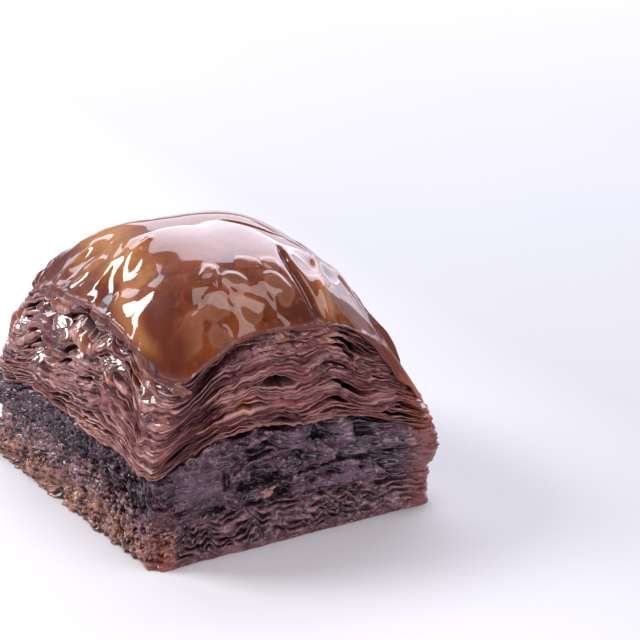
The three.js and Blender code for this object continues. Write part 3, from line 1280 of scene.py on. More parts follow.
    def wave_at(self, paths: Array, share: Array | float) -> Array:
        """How far the ruffles lift sheets.

        Args:
            paths: Places on the sheets' edges.
            share: Their shares of the height.

        Returns:
            One height for each place.
        """
        points = np.stack([paths[..., 0], paths[..., 1], 5.5 * share + 0 * paths[..., 0]], axis=-1)
        points = points * self.STRETCH
        strength = np.exp(-((share - self.wave_centre) / 0.42) ** 2) * np.minimum(1, 5 * share)
        small = 0.15 * rough_noise(points + 300, self.wave_size * 0.45, self.seed + 41, 2)
        field = rough_noise(points, self.wave_size, self.seed + 40, 1) + small
        crests = sum((ruffle.lift(paths, share) for ruffle in self.ruffles), np.zeros(field.shape))
        return self.form.outline.by_side(self.wave) * strength * field + crests

    @cached_property
    def rim(self) -> Array:
        """Where the crust lies on the sheets, round the piece."""
        top = self.form.outline.ring(self.form.STACK_LEAN, self.ceiling)
        return self.ceiling + self.wave_at(top, 1.0)

    @cached_property
    def insets(self) -> Array:
        """Lay the sheets more or less even with each other.

        Returns:
            How far inside the foot each sheet's edge lies, by sheet and station.
        """
        ragged = self.form.outline.by_side(self.ragged)
        layers = np.arange(self.count)
        bundled = 0.5 * self.noise(23.0 * self.bundles, 4.8, 60)
        single = 0.42 * self.noise(23.0 * layers, 2.2, 62)
        shared = 0.4 * self.noise(0.4 * layers, 5.5, 61, 3)
        lobes = 0.45 * self.parts[1]
        single = single * (0.25 + 0.75 * self.distinct[:-1]) + 0.4 * self.noise(11.0 * layers, 0.8, 63)
        hollows = sum(hollow.lift(self.paths, self.shares[:, None]) for hollow in self.hollows)
        return (self.form.lean(self.shares)[:, None] - np.minimum(lobes, 0.8) + hollows
                + ragged * (0.3 + bundled + single + shared))

    def build(self, dress: Dress) -> list[Object]:
        """Make the sheets.

        Args:
            dress: What it wears.

        Returns:
            The pieces, from the lowest, each of several sheets.
        """
        outline = self.form.outline
        pieces = []
        for layers in np.array_split(np.arange(self.count), self.pieces):
            sheets = [self.sheet(layer) for layer in layers]
            points = np.concatenate([rings.reshape(-1, 3) for rings, _ in sheets])
            each = len(self.SECTION) * outline.count
            quads = [face_loops(len(self.SECTION), outline.count, closed=True) + each * number
                     for number in range(len(sheets))]
            tags = {tag: np.concatenate([values[tag].ravel() for _, values in sheets])
                    for tag in sheets[0][1]}
            piece = mesh_object(f"{self.name}_{len(pieces) + 1}", points + outline.shift, quads,
                                {**tags, "glow": self.form.glow(points)})
            pieces.append(adopt(piece, dress))
        return pieces

    def sheet(self, layer: int) -> tuple[Array, Tags]:
        """One sheet's rings of points.

        Args:
            layer: Its number, from 0 for the lowest.

        Returns:
            The points, and values for each: how much it counts as an edge, how wet it is, and how light it
                is, darker beside the south-west corner as painted shade.
        """
        outline, share = self.form.outline, self.shares[layer]
        slope = self.slope_floor + (self.slope_ceiling - self.slope_floor) * share
        path, thick = self.paths[layer], self.thicknesses[layer]
        bend = rough_noise(path + 29.0 * self.bundles[layer], 4.6, self.seed + 80, 2)
        bend = outline.by_side(self.curl) * bend
        drift = np.array([0, 0, 0.6 * layer])
        damp = 0.65 * rough_noise(path + drift, 3.6, self.seed + 90, 3)
        damp += outline.by_side(self.wetness) * (0.2 + 0.8 * share) + 0.7 * self.parts[1][layer]
        draw = np.random.default_rng(self.seed + 200 + layer)
        tone = draw.uniform(0.25, 0.75) + 0.35 * rough_noise(path + 3 * drift, 4.5, self.seed + 95, 2)
        # Painted shade: sheets are darker beside the south-west corner, where the side curves in.
        tone = tone - 0.6 * smooth_step(5.5, 2.0, away_from(path, *self.SHADED_VALLEY))
        rings, edges = [], []
        for thicks, distance, rise, gaping, pressed in self.SECTION:
            loose, clear = self.looseness[layer + (rise > 0)], self.distinct[layer + (rise > 0)]
            inwards = thicks * thick * (0.15 + 0.4 * clear + 0.45 * loose) + distance * self.reach
            height = self.heights[layer] + rise * thick + slope * inwards + bend * np.exp(-inwards / 0.6)
            ring = outline.ring(self.insets[layer] + inwards, height)
            if distance > 0.2:
                ring[:, 2] = np.minimum(height, self.roof.height(ring) - 1.0 + 0.2 * rise)
            rings.append(ring)
            # The edge value: low for painted shade between sheets, high for a painted highlight on the upper
            # edge.
            flush = pressed * clear + self.BODY_EDGE * (1 - clear)
            edges.append(gaping * loose + flush * (1 - loose))
        level = np.ones((len(self.SECTION), 1))
        return np.array(rings), {"edge": np.array(edges), "wet": level * np.clip(damp, 0, 1),
                                 "tone": level * np.clip(tone, 0, 1)}


@dataclass
class Core:
    """The inside that shows through the gaps between sheets, painted near-black as shade where it is dry,
    with syrup caught in it.
    """

    form: Form
    name: str
    floor: Array
    ceiling: Array
    inset_floor: float
    inset_ceiling: float
    middle: Pair
    syrup: Sides
    rows: int = 12
    rough: float = 0.35

    def build(self, dress: Dress) -> Object:
        """Make the core.

        Args:
            dress: What it wears.

        Returns:
            The piece.
        """
        outline = self.form.outline
        syrup = outline.by_side(self.syrup)
        rings, wets = [outline.ring(self.inset_floor + 8, self.floor)], [syrup]
        for row in range(self.rows + 1):
            share = row / self.rows
            height = self.floor * (1 - share) + self.ceiling * share
            inset = self.inset_floor + (self.inset_ceiling - self.inset_floor) * share
            path = outline.ring(inset, height)
            pockets = syrup * smooth_step(0.25, 0.7, share)
            inset = inset - 1.1 * pockets + self.rough * rough_noise(path, 2.6, 7, 2)
            rings.append(outline.ring(inset, height))
            wets.append(pockets)
        rings.append(outline.ring(self.inset_ceiling + 5, np.minimum(self.ceiling + 1.0, self.middle[1])))
        wets.append(syrup)
        rings, wets = np.array(rings), np.array(wets)
        # Painted shade: where there is no syrup, the core gets low values and so the near-black gap colour
        # of the sheets.
        tags = {"edge": wets * 0.4, "wet": wets, "glow": 0 * wets, "tone": 0 * wets}
        piece = ring_skin(self.name, rings, outline.shift, tags, self.middle)
        return adopt(piece, dress)


@dataclass
class GlazedCrust:
    """The domed top sheet with its folds, dents and blisters, draped over the stack's rim."""

    form: Form
    relief: CrustRelief
    rim_height: Array
    dome_rows: int = 96
    lip_rows: int = 10
    thickness: float = 0.26
    overhang: float = 0.3
    blend_reach: int = 20

    LIP = sides(1.6, 0.9, 1.0, 0.4)

    # Rings of the underside: share of the way from the middle to the rim, and depth below the dome.
    UNDERSIDE = ((0.25, 3.4), (0.5, 3.4), (0.7, 3.0), (0.85, 2.4), (0.95, 1.6))

    @cached_property
    def drops(self) -> Array:
        """Let the lip hang over the side, and a tongue over the corner.

        Returns:
            How far it hangs at each station.
        """
        outline = self.form.outline
        rim = outline.ring(self.form.STACK_LEAN, self.rim_height)
        lip = outline.by_side(self.LIP) * (1 + 0.45 * rough_noise(rim, 3.0, 620, 3))
        corner = outline.from_corner(rim, 1, -1, 4.0)
        tongue = 7.5 * smooth_step(7.5, 1.5, corner) * (1 + 0.12 * rough_noise(rim, 2.4, 640, 3))
        return np.maximum(lip, 0.36) + tongue

    def build(self, dress: Dress) -> Object:
        """Make the crust.

        Args:
            dress: What it wears.

        Returns:
            The piece.
        """
        outline, form = self.form.outline, self.form
        floor = form.filling_ring()
        drops = self.drops
        path = outline.ring(form.STACK_LEAN, self.rim_height)
        ragged = 0.3 * rough_noise(path, 3.0, 600, 3)

        def side_ring(drop: Array, out: Array | float) -> Array:
            """A ring that hangs down the side.

            Args:
                drop: How far it hangs below the rim at each station.
                out: How far it stands out from the sheets.

            Returns:
                Its points.
            """
            share = np.clip((self.rim_height - drop - floor) / (self.rim_height - floor), 0, 1)
            ripple = 0.18 * rough_noise(path + (0, 0, 40.0), 1.8, 610, 2) * np.minimum(drop, 2)
            inset = form.lean(share) - out + ragged + ripple
            return outline.ring(inset, self.rim_height - drop)

        rim = outline.ring(form.STACK_LEAN + ragged, self.rim_height)
        rings = []
        for share, depth in self.UNDERSIDE:
            ring = rim * (share, share, 0.0)
            ring[:, 2] = form.crust.height(ring) - depth
            rings.append(ring)
        for share in np.linspace(0, 1, self.lip_rows // 2):
            rings.append(side_ring(0.28 + (drops - 0.34) * share, self.overhang - self.thickness))
        for share in np.linspace(1, 0, self.lip_rows):
            rings.append(side_ring(0.2 + (drops - 0.2) * share, self.overhang * (1 - 0.3 * share ** 3)))
        hanging = len(rings)
        rings.append(side_ring(np.full(outline.count, 0.08), self.overhang * 0.55))
        wander = self.rim_height - self.relief.height(rim)
        slow = blur_round(wander, self.blend_reach)
        for row in range(self.dome_rows):
            share = 1 - row / self.dome_rows
            ring = rim * (share, share, 0.0)
            ring[:, 2] = self.relief.height(ring) + slow * share ** 7 + (wander - slow) * share ** 40
            rings.append(ring)
        rings = np.array(rings)
        reach = away_from(rings, 0.0, 0.0) / away_from(rim, 0.0, 0.0)
        rim_tag = smooth_step(0.982, 1.0, reach)
        rim_tag[:hanging] = 1.0
        corner = outline.from_corner(rings, 1, -1)
        tongue, tip = smooth_step(13.0, 4.0, corner), smooth_step(5.5, 2.0, corner)
        top = float(self.relief.height(np.zeros((1, 3)))[0])
        piece = ring_skin("glazed_crust", rings, outline.shift,
                          {**self.relief.tags(rings), "rim": rim_tag, "tongue": tongue, "tip": tip},
                          (form.crust.middle - 3.6, top))
        return adopt(piece, dress)


@dataclass(frozen=True)
class Smear:
    """A bulge of the south side, or a hollow where it goes inwards."""

    x: float
    z: float
    width: float
    height: float
    out: float

    def lift(self, path: Array) -> Array:
        """How far it pushes the side out at places."""
        away = ((path[..., 0] - self.x) / self.width) ** 2 + ((path[..., 2] - self.z) / self.height) ** 2
        return self.out * np.exp(-away ** 1.5) * (path[..., 1] < -20)


@dataclass(frozen=True)
class Fold:
    """A ridge along a path on the south side, or a crack where it goes inwards."""

    path: tuple[Pair, ...]
    width: float
    out: float

    def lift(self, path: Array) -> Array:
        """How far it pushes the side out at places."""
        ridge = Crease(self.path, self.width, self.out).lift(path[..., [0, 2]])
        return ridge * (path[..., 1] < -20)


@dataclass
class Mass:
    """A layer between two seams, closed above and below, with relief on its sides."""

    form: Form
    name: str
    floor: Array
    ceiling: Array
    poles: Pair
    rows: int

    LIDS = (14.0, 6.0, 2.0)

    def section(self, path: Array, share: float) -> tuple[Array, Tags]:
        """Shape one ring of the sides.

        Args:
            path: The ring on sides without relief.
            share: Its share of the layer's height.

        Returns:
            How far inside the foot it lies at each station, and its tags.
        """
        raise NotImplementedError

    def build(self, dress: Dress) -> Object:
        """Make the layer.

        Args:
            dress: What it wears.

        Returns:
            The piece.
        """
        form, outline = self.form, self.form.outline
        rings, values = [], []
        for row in range(self.rows + 1):
            share = row / self.rows
            height = self.floor * (1 - share) + self.ceiling * share
            inset, tags = self.section(outline.ring(form.FILLING_INSET, height), share)
            rings.append(outline.ring(inset, height))
            values.append(tags)
        below = [outline.ring(form.FILLING_INSET + depth, self.floor) for depth in self.LIDS]
        above = [outline.ring(form.FILLING_INSET + depth, self.ceiling + 0.1 * depth)
                 for depth in reversed(self.LIDS)]
        values = [values[0]] * len(below) + values + [values[-1]] * len(above)
        rings = np.array([*below, *rings, *above])
        tags = {tag: np.array([np.broadcast_to(row[tag], (outline.count,)) for row in values])
                for tag in values[0]}
        piece = ring_skin(self.name, rings, outline.shift, {**tags, "glow": form.glow(rings)}, self.poles)
        return adopt(piece, dress)


@dataclass
class ChocolateMass(Mass):
    """The filling: craggy where it tore, smeared and folded where the knife went through."""

    HOLLOWS = table(
        Smear, (12.4, 14.4, 2.6, 1.7, -1.9), (5.2, 15.0, 1.9, 1.3, -1.6), (-2.4, 17.8, 2.4, 0.9, -1.6),
        (-11.2, 11.0, 0.5, 1.8, -1.1), (-9.5, 17.4, 2.4, 0.5, -1.0), (-7.6, 9.4, 1.8, 0.8, -1.0),
        (-3.6, 9.4, 2.6, 0.45, -1.1), (-1.6, 7.4, 1.2, 0.9, -0.9), (15.2, 8.2, 1.4, 0.5, -1.0),
        (-13.6, 7.0, 2.2, 0.5, -0.8), (0.6, 12.6, 0.9, 0.7, -0.8), (3.2, 7.9, 0.5, 0.35, -1.1),
        (15.8, 12.2, 1.8, 0.4, -0.7), (13.0, 7.6, 0.5, 0.7, -1.2), (9.8, 7.0, 0.4, 0.5, -1.1),
    )
    BULGES = table(
        Smear, (8.4, 7.3, 6.6, 1.3, 0.8), (9.0, 14.0, 1.1, 2.0, 0.9), (5.8, 11.6, 2.4, 1.2, 0.6),
        (-15.8, 11.2, 3.8, 3.6, 0.5), (-5.0, 7.8, 1.6, 0.8, 0.5), (0.4, 14.8, 1.6, 1.8, 0.7),
        (-8.6, 11.4, 1.4, 1.0, 0.5), (17.4, 11.2, 2.4, 3.0, 0.4), (-13.4, 6.0, 3.0, 0.6, 0.4),
    )
    FOLDS = table(
        Fold,
        (((-8.6, 14.6), (-7.2, 16.0), (-4.8, 16.4), (-2.9, 15.3), (-1.2, 14.9)), 0.32, 0.6),
        (((-7.8, 13.6), (-6.2, 15.0), (-4.2, 14.9), (-2.6, 13.8)), 0.3, 0.55),
        (((-6.8, 12.4), (-5.2, 13.6), (-3.8, 13.1)), 0.28, 0.5),
        (((-4.2, 12.6), (-3.2, 11.0), (-1.6, 10.7), (-0.6, 11.9)), 0.3, 0.6),
        (((-3.0, 12.8), (-2.3, 12.0), (-1.4, 12.3)), 0.26, 0.45),
        (((1.0, 6.3), (1.6, 8.4), (0.9, 8.9)), 0.28, 0.5),
        (((5.2, 7.3), (5.7, 8.4), (6.9, 8.6), (7.6, 8.0), (8.3, 8.5)), 0.32, -1.1),
        (((10.4, 8.5), (11.2, 8.2), (11.9, 8.7)), 0.3, -1.0),
        (((4.6, 6.2), (5.2, 7.0), (6.6, 6.9)), 0.28, 0.4),
        (((10.2, 15.9), (12.4, 15.4), (15.4, 15.2)), 0.26, 0.6),
        (((10.6, 12.3), (12.8, 12.6), (14.6, 11.9)), 0.26, 0.6),
        (((-0.8, 9.5), (3.6, 9.7), (7.4, 10.3), (11.4, 9.7), (15.6, 9.9), (20.0, 10.2)), 0.34, -0.9),
        (((-9.2, 6.4), (-4.4, 6.2), (0.4, 6.7)), 0.26, -0.5),
    )

    # Smooth patches of the south side: x, z, half width and half height.
    SMOOTH = ((-15.8, 11.6, 3.6, 3.8), (8.6, 7.7, 7.6, 1.3), (0.6, 14.6, 2.2, 1.6), (8.8, 13.8, 1.8, 1.8))

    LUMPS = sides(0.7, 0.7, 0.7, 0.36)
    GRAINS = sides(0.3, 0.3, 0.38, 0.08)
    STREAKS = sides(0.04, 0.04, 0.0, 0.05)
    TORN = sides(0.8, 0.8, 1.0, 0.1)

    def section(self, path: Array, share: float) -> tuple[Array, Tags]:
        """Shape one ring of the sides.

        Args:
            path: The ring on sides without relief.
            share: Its share of the layer's height.

        Returns:
            How far inside the foot it lies at each station, and its tags.
        """
        form, outline = self.form, self.form.outline
        lumps, grains, streaks, torn = (outline.by_side(sides) for sides in (
            self.LUMPS, self.GRAINS, self.STREAKS, self.TORN))
        ridges = 1 - np.abs(stirred_noise(path * (1, 1, 1.5), 3.4, 700, 3)) * 2.0
        crumb = 1 - np.abs(rough_noise(path, 0.9, 720, 2)) * 1.6
        crinkle = 1 - np.abs(stirred_noise(path * (0.7, 1, 1.5), 3.4, 780, 2, 0.9)) * 2.2
        pits = np.maximum(0, stirred_noise(path * (1, 1, 1.4), 3.6, 740, 3) - 0.25)
        knife = rough_noise(path * (1, 1, 0.2), 0.8, 750, 2)
        ribs = rough_noise(path * (0.35, 1, 2.6), 1.6, 760, 2)
        corner = smooth_step(7.0, 2.5, outline.from_corner(path, 1, -1))
        hollows, bulges, folds = (sum(shape.lift(path) for shape in shapes) for shapes in (
            self.HOLLOWS, self.BULGES, self.FOLDS))
        seam = 0.5 * smooth_step(0.04, 0.0, share) * torn
        seam = seam + smooth_step(0.93, 1.0, share) * (
            0.15 + np.clip(1.2 * rough_noise(path * (1, 1, 0), 4.2, 770, 2), 0, 0.8))
        relief = (lumps * (1.4 * pits - 0.5 * ridges) - grains * crumb + streaks * (knife + 0.8 * ribs)
                  + 0.12 * corner * ribs - 0.42 * (1 - torn) * crinkle)
        smooth = sum(np.exp(-((path[:, 0] - x) / width) ** 4 - ((path[:, 2] - z) / height) ** 4)
                     for x, z, width, height in self.SMOOTH) * (1 - torn)
        calm = 1 - 0.6 * corner - 0.6 * smooth
        inset = (form.FILLING_INSET + 0.2 - 0.35 * math.sin(math.pi * share) - bulges - hollows
                 + calm * (relief + seam) - folds)
        # Painted shade mask: the deep value darkens pits, troughs, hollows and cracks.
        caves = -0.8 * hollows - 0.75 * np.minimum(folds, 0)
        deep = np.clip(1.4 * lumps * pits - 0.4 * np.minimum(ridges + crinkle, 0) * (1 - torn)
                       + 0.25 * seam - 0.1, 0, 1)
        # Painted highlight mask: fold and crinkle crests, and the upper torn side.
        pale = np.clip(0.8 * np.maximum(folds, 0) + 0.1 * bulges
                       + (1 - torn) * (1 - smooth) * smooth_step(0.7, 1.0, crinkle)
                       + 0.5 * torn * smooth_step(0.45, 0.9, share + 0.2 * ribs), 0, 0.9)
        deep = np.clip(deep * (1 - 0.7 * smooth) + caves, 0, 1)
        return inset, {"torn": torn, "deep": deep, "pale": pale, "sheen": np.clip(1.2 * bulges, 0, 1)}


@dataclass
class SoakedMass(Mass):
    """The base: sheets pressed into tight crumpled waves, and a crumbly face where they tore."""

    pitch: float = 1.0
    foot: float = 0.9

    WAVES = sides(0.6, 0.6, 0.5, 1.25)
    GROOVES = sides(0.4, 0.4, 0.14, 0.95)
    CRUMBS = sides(0.2, 0.2, 0.5, 0.05)
    LUMPS = sides(0.5, 0.5, 1.1, 0.3)
    TOAST = sides(0.35, 0.35, 1.0, 0.0)

    def section(self, path: Array, share: float) -> tuple[Array, Tags]:
        """Shape one ring of the sides.

        Args:
            path: The ring on sides without relief.
            share: Its share of the layer's height.

        Returns:
            How far inside the foot it lies at each station, and its tags.
        """
        form, outline = self.form, self.form.outline
        waves, grooves, crumbs, lumps, toast = (outline.by_side(sides) for sides in (
            self.WAVES, self.GROOVES, self.CRUMBS, self.LUMPS, self.TOAST))
        warp = waves * (stirred_noise(path * (1, 1, 0.5), 3.2, 800, 2)
                        + 0.15 * rough_noise(path, 1.4, 805, 1))
        phase = (path[:, 2] + warp) / self.pitch
        crest = np.abs(np.sin(math.pi * phase)) ** 0.9
        above_foot = smooth_step(self.foot * 0.7, self.foot * 1.15,
                                 path[:, 2] + 0.25 * rough_noise(path, 2.4, 810, 2))
        patchy = np.clip(0.75 + 0.7 * rough_noise(path * (1, 1, 1.4), 2.2, 820, 2), 0.15, 1.4)
        pits = np.maximum(0, rough_noise(path * (1, 1, 1.5), 1.9, 830, 3) - 0.3)
        crumb = 1 - np.abs(stirred_noise(path, 1.9, 840, 4, 0.5)) * 1.6
        coarse = stirred_noise(path * (1, 1, 1.3), 3.4, 850, 2, 0.7)
        above_foot = np.maximum(above_foot, 0.3 + 0.45 * toast)
        corner = smooth_step(7.0, 2.0, outline.from_corner(path, 1, -1))
        relief = (1 - 0.6 * corner) * above_foot * (
            grooves * patchy * (1 - crest) + 1.1 * lumps * pits - crumbs * crumb)
        relief = relief - 0.35 * corner * share - 0.3 * toast
        flare = -form.FLARE + (form.FILLING_INSET + 0.2 + form.FLARE) * share ** 0.8
        inset = flare + 0.2 + lumps * (0.3 + 0.2 * share) * coarse + relief
        low = smooth_step(0.75, 0.25, share + 0.22 * rough_noise(path, 2.6, 860, 2))
        shady = smooth_step(0.78, 1.0, share + 0.2 * coarse) + 0.8 * smooth_step(0.2, 0.7, coarse)
        # Painted shade mask: pits, coarse crevices, and darker towards the top of the torn side.
        deep = np.clip(2.0 * above_foot * lumps * pits - 0.1 + crumbs * shady, 0, 1)
        # The edge value is low in the grooves, for painted shade, and high on crests, for a painted
        # highlight.
        return inset, {"torn": crumbs / 0.5, "edge": 1 - above_foot * patchy * (1 - crest),
                       "toast": toast * low, "deep": deep, "pale": (1 - above_foot) * (1 - toast)}


# Things that are strewn

def grain_shape(name: str, radius: float, flatness: Triple, rough: float, seed: int,
                material: Material, fineness: int = 1) -> Object:
    """Make one small, uneven thing.

    Args:
        name: The object's name.
        radius: Its radius in millimetres.
        flatness: Its proportions along X, Y and Z.
        rough: How uneven it is.
        seed: Picks its shape.
        material: Its material.
        fineness: 1 for 20 faces, and four times as many for each more.

    Returns:
        The object.
    """
    bpy.ops.mesh.primitive_ico_sphere_add(subdivisions=fineness, radius=1.0, location=(0, 0, 0))
    shape = bpy.context.object
    shape.name = name
    points = np.array([vertex.co[:] for vertex in shape.data.vertices])
    swell = 1 + rough * rough_noise(points * 1.7 + 5, 1.0, seed, 2)
    points = points * swell[:, None] * np.array(flatness) * radius * MM
    shape.data.vertices.foreach_set("co", points.astype(np.float32).ravel())
    shape.data.polygons.foreach_set("use_smooth", np.ones(len(shape.data.polygons), dtype=bool))
    shape.data.materials.append(material)
    shape.data.update()
    return shape


class Strewing(Wiring):
    """A Geometry Nodes tree that strews small shapes over the faces of a skin."""

    KINDS = {"Skin": "Geometry", "Shape": "Object", "Density": "Float", "Smallest": "Float",
             "Largest": "Float", "Seed": "Int"}

    def __init__(self, name: str, material: Material) -> None:
        """Build the tree with its named inputs.

        Args:
            name: The strewn piece's name.
            material: The shapes' material.
        """
        super().__init__(bpy.data.node_groups.new(f"{name}_strewing", "GeometryNodeTree"))
        self.name = name
        face = self.tree.interface
        self.inputs = {
            label: face.new_socket(label, in_out="INPUT", socket_type=f"NodeSocket{kind}").identifier
            for label, kind in self.KINDS.items()}
        face.new_socket("Strewn", in_out="OUTPUT", socket_type="NodeSocketGeometry")
        self.wire(material)

    def wire(self, material: Material) -> None:
        """Add the nodes: scatter points by the skin's own weight, put a shape on each, and join.

        Args:
            material: The shapes' material.
        """
        given, end = self.node("NodeGroupInput").outputs, self.node("NodeGroupOutput")
        weight = self.node("GeometryNodeInputNamedAttribute", {"Name": "strew"}, data_type="FLOAT")
        density = self.times(weight.outputs["Attribute"], given["Density"])
        scatter = self.node("GeometryNodeDistributePointsOnFaces", {
            "Mesh": given["Skin"], "Density": density, "Seed": given["Seed"]})
        shape = self.node("GeometryNodeObjectInfo", {"Object": given["Shape"]})
        turn = self.node("FunctionNodeRandomValue", data_type="FLOAT_VECTOR")
        self.feed(turn.inputs["Max"], (math.tau, math.tau, math.tau))
        self.feed(turn.inputs["Seed"], given["Seed"])
        size = self.node("FunctionNodeRandomValue", {
            2: given["Smallest"], 3: given["Largest"], "Seed": given["Seed"]}, data_type="FLOAT")
        place = self.node("GeometryNodeInstanceOnPoints", {
            "Points": scatter.outputs["Points"], "Instance": shape.outputs["Geometry"],
            "Rotation": turn.outputs["Value"], "Scale": size.outputs[1]})
        real = self.node("GeometryNodeRealizeInstances", {"Geometry": place.outputs["Instances"]})
        finish = self.node("GeometryNodeSetMaterial", {
            "Material": material, "Geometry": real.outputs["Geometry"]})
        self.feed(end.inputs[0], finish.outputs["Geometry"])

    def strew(self, skin: Object, weights: Array, shape: Object,
              density: float, sizes: Pair, seed: int) -> Object:
        """Run the tree on a copy of a skin.

        Args:
            skin: The piece that carries the small shapes.
            weights: How thickly they lie at each of its points, from 0 to 1.
            shape: The shape that is copied.
            density: How many lie on a square centimetre where the weight is 1.
            sizes: The smallest and the largest scale.
            seed: Picks their places.

        Returns:
            All the small shapes as one mesh object.
        """
        carrier = bpy.data.objects.new(f"{self.name}_carrier", skin.data.copy())
        bpy.context.scene.collection.objects.link(carrier)
        layer = carrier.data.attributes.new("strew", "FLOAT", "POINT")
        layer.data.foreach_set("value", weights.astype(np.float32))
        modifier = carrier.modifiers.new("strewing", "NODES")
        modifier.node_group = self.tree
        for label, value in {"Shape": shape, "Density": density * 1e4, "Smallest": sizes[0],
                             "Largest": sizes[1], "Seed": seed}.items():
            modifier[self.inputs[label]] = value
        evaluated = carrier.evaluated_get(bpy.context.evaluated_depsgraph_get())
        mesh = bpy.data.meshes.new_from_object(evaluated)
        mesh.name = self.name
        for tag in [layer.name for layer in mesh.attributes if layer.data_type == "FLOAT"]:
            mesh.attributes.remove(mesh.attributes[tag])
        bpy.data.objects.remove(carrier)
        piece = bpy.data.objects.new(self.name, mesh)
        bpy.context.scene.collection.objects.link(piece)
        return piece


@dataclass(frozen=True)
class Scatter:
    """One kind of small thing, and where it lies on a skin."""

    name: str
    finish: GrainFinish
    flatness: Triple
    radius: float
    sizes: Pair
    density: float
    slot: str
    sides: Sides
    heights: Pair = (1.1, 60.0)


@dataclass
class Strewings:
    """Crumbs and nut flecks on the cut sides."""

    form: Form

    FILLING = (
        Scatter("filling_crumbs",
                GrainFinish("dark_crumb", (0.008, 0.004, 0.01), (0.085, 0.04, 0.07), 0.35, 0.7),
                (1.0, 0.9, 0.75), 0.3, (0.35, 1.3), 110, "chocolate", sides(0.4, 0.4, 1.0, 0.06)),
        Scatter("filling_flecks",
                GrainFinish("nut_fleck", (0.36, 0.19, 0.15), (0.22, 0.1, 0.08), 0.4, 0.6),
                (1.0, 0.8, 0.5), 0.3, (0.3, 1.0), 14, "chocolate", sides(0.6, 0.6, 1.0, 0.15)),
    )
    BASE = (
        Scatter("base_crumbs",
                GrainFinish("mauve_crumb", (0.48, 0.25, 0.25), (0.2, 0.08, 0.09), 0.35, 0.7),
                (1.0, 0.7, 0.45), 0.42, (0.2, 1.3), 80, "soaked_pastry", sides(0.3, 0.3, 1.0, 0.03)),
        Scatter("toasted_crumbs",
                GrainFinish("toasted_crumb", (0.6, 0.28, 0.15), (0.38, 0.15, 0.09), 0.4, 0.6),
                (1.0, 0.65, 0.45), 0.42, (0.2, 1.3), 90, "soaked_pastry", sides(0.2, 0.2, 1.0, 0.0),
                (1.2, 4.0)),
    )

    def weights(self, skin: Object, scatter: Scatter) -> Array:
        """How thickly a kind lies on a skin.

        Args:
            skin: The piece that carries it.
            scatter: The kind.

        Returns:
            One value for each of the skin's points, from 0 to 1.
        """
        points = np.empty(len(skin.data.vertices) * 3, dtype=np.float32)
        skin.data.vertices.foreach_get("co", points)
        points = points.reshape(-1, 3) / MM
        total = np.zeros(len(points))
        for side, share in scatter.sides.items():
            axis = 0 if side.value[0] else 1
            limit = self.form.outline.half[axis]
            total += share * smooth_step(limit - 4.0, limit - 1.6, points[:, axis] * side.value[axis])
        total *= smooth_step(4.0, 8.0, self.form.outline.from_corner(points, 1, -1))
        low, high = scatter.heights
        heights = points[:, 2] + 0.8 * rough_noise(points, 3.0, 88, 2)
        inside = smooth_step(low - 0.4, low, points[:, 2]) * smooth_step(high + 1.0, high, heights)
        return np.clip(total, 0, 1) * inside

    def build(self, filling: Object, base: Object) -> None:
        """Strew every kind, as one piece each.

        Args:
            filling: The filling's piece.
            base: The base's piece.
        """
        kinds = [(filling, scatter) for scatter in self.FILLING] + [(base, scatter) for scatter in self.BASE]
        for seed, (skin, scatter) in enumerate(kinds):
            material = scatter.finish.material()
            shape = grain_shape(f"{scatter.name}_shape", scatter.radius, scatter.flatness, 0.6,
                                50 + seed, material)
            piece = Strewing(scatter.name, material).strew(
                skin, self.weights(skin, scatter), shape, scatter.density, scatter.sizes, 90 + seed)
            bpy.data.objects.remove(shape)
            adopt(piece, Dress(material, scatter.slot))


@dataclass(frozen=True)
class Placed:
    """One thing set on a side.

    It has a place, a size, how far it stands in, how far it is turned on the side, and how far it
    leans back, in radians.
    """

    side: Side
    along: float
    height: float
    size: Triple
    inset: float
    tilt: float = 0.0
    back: float = 0.0


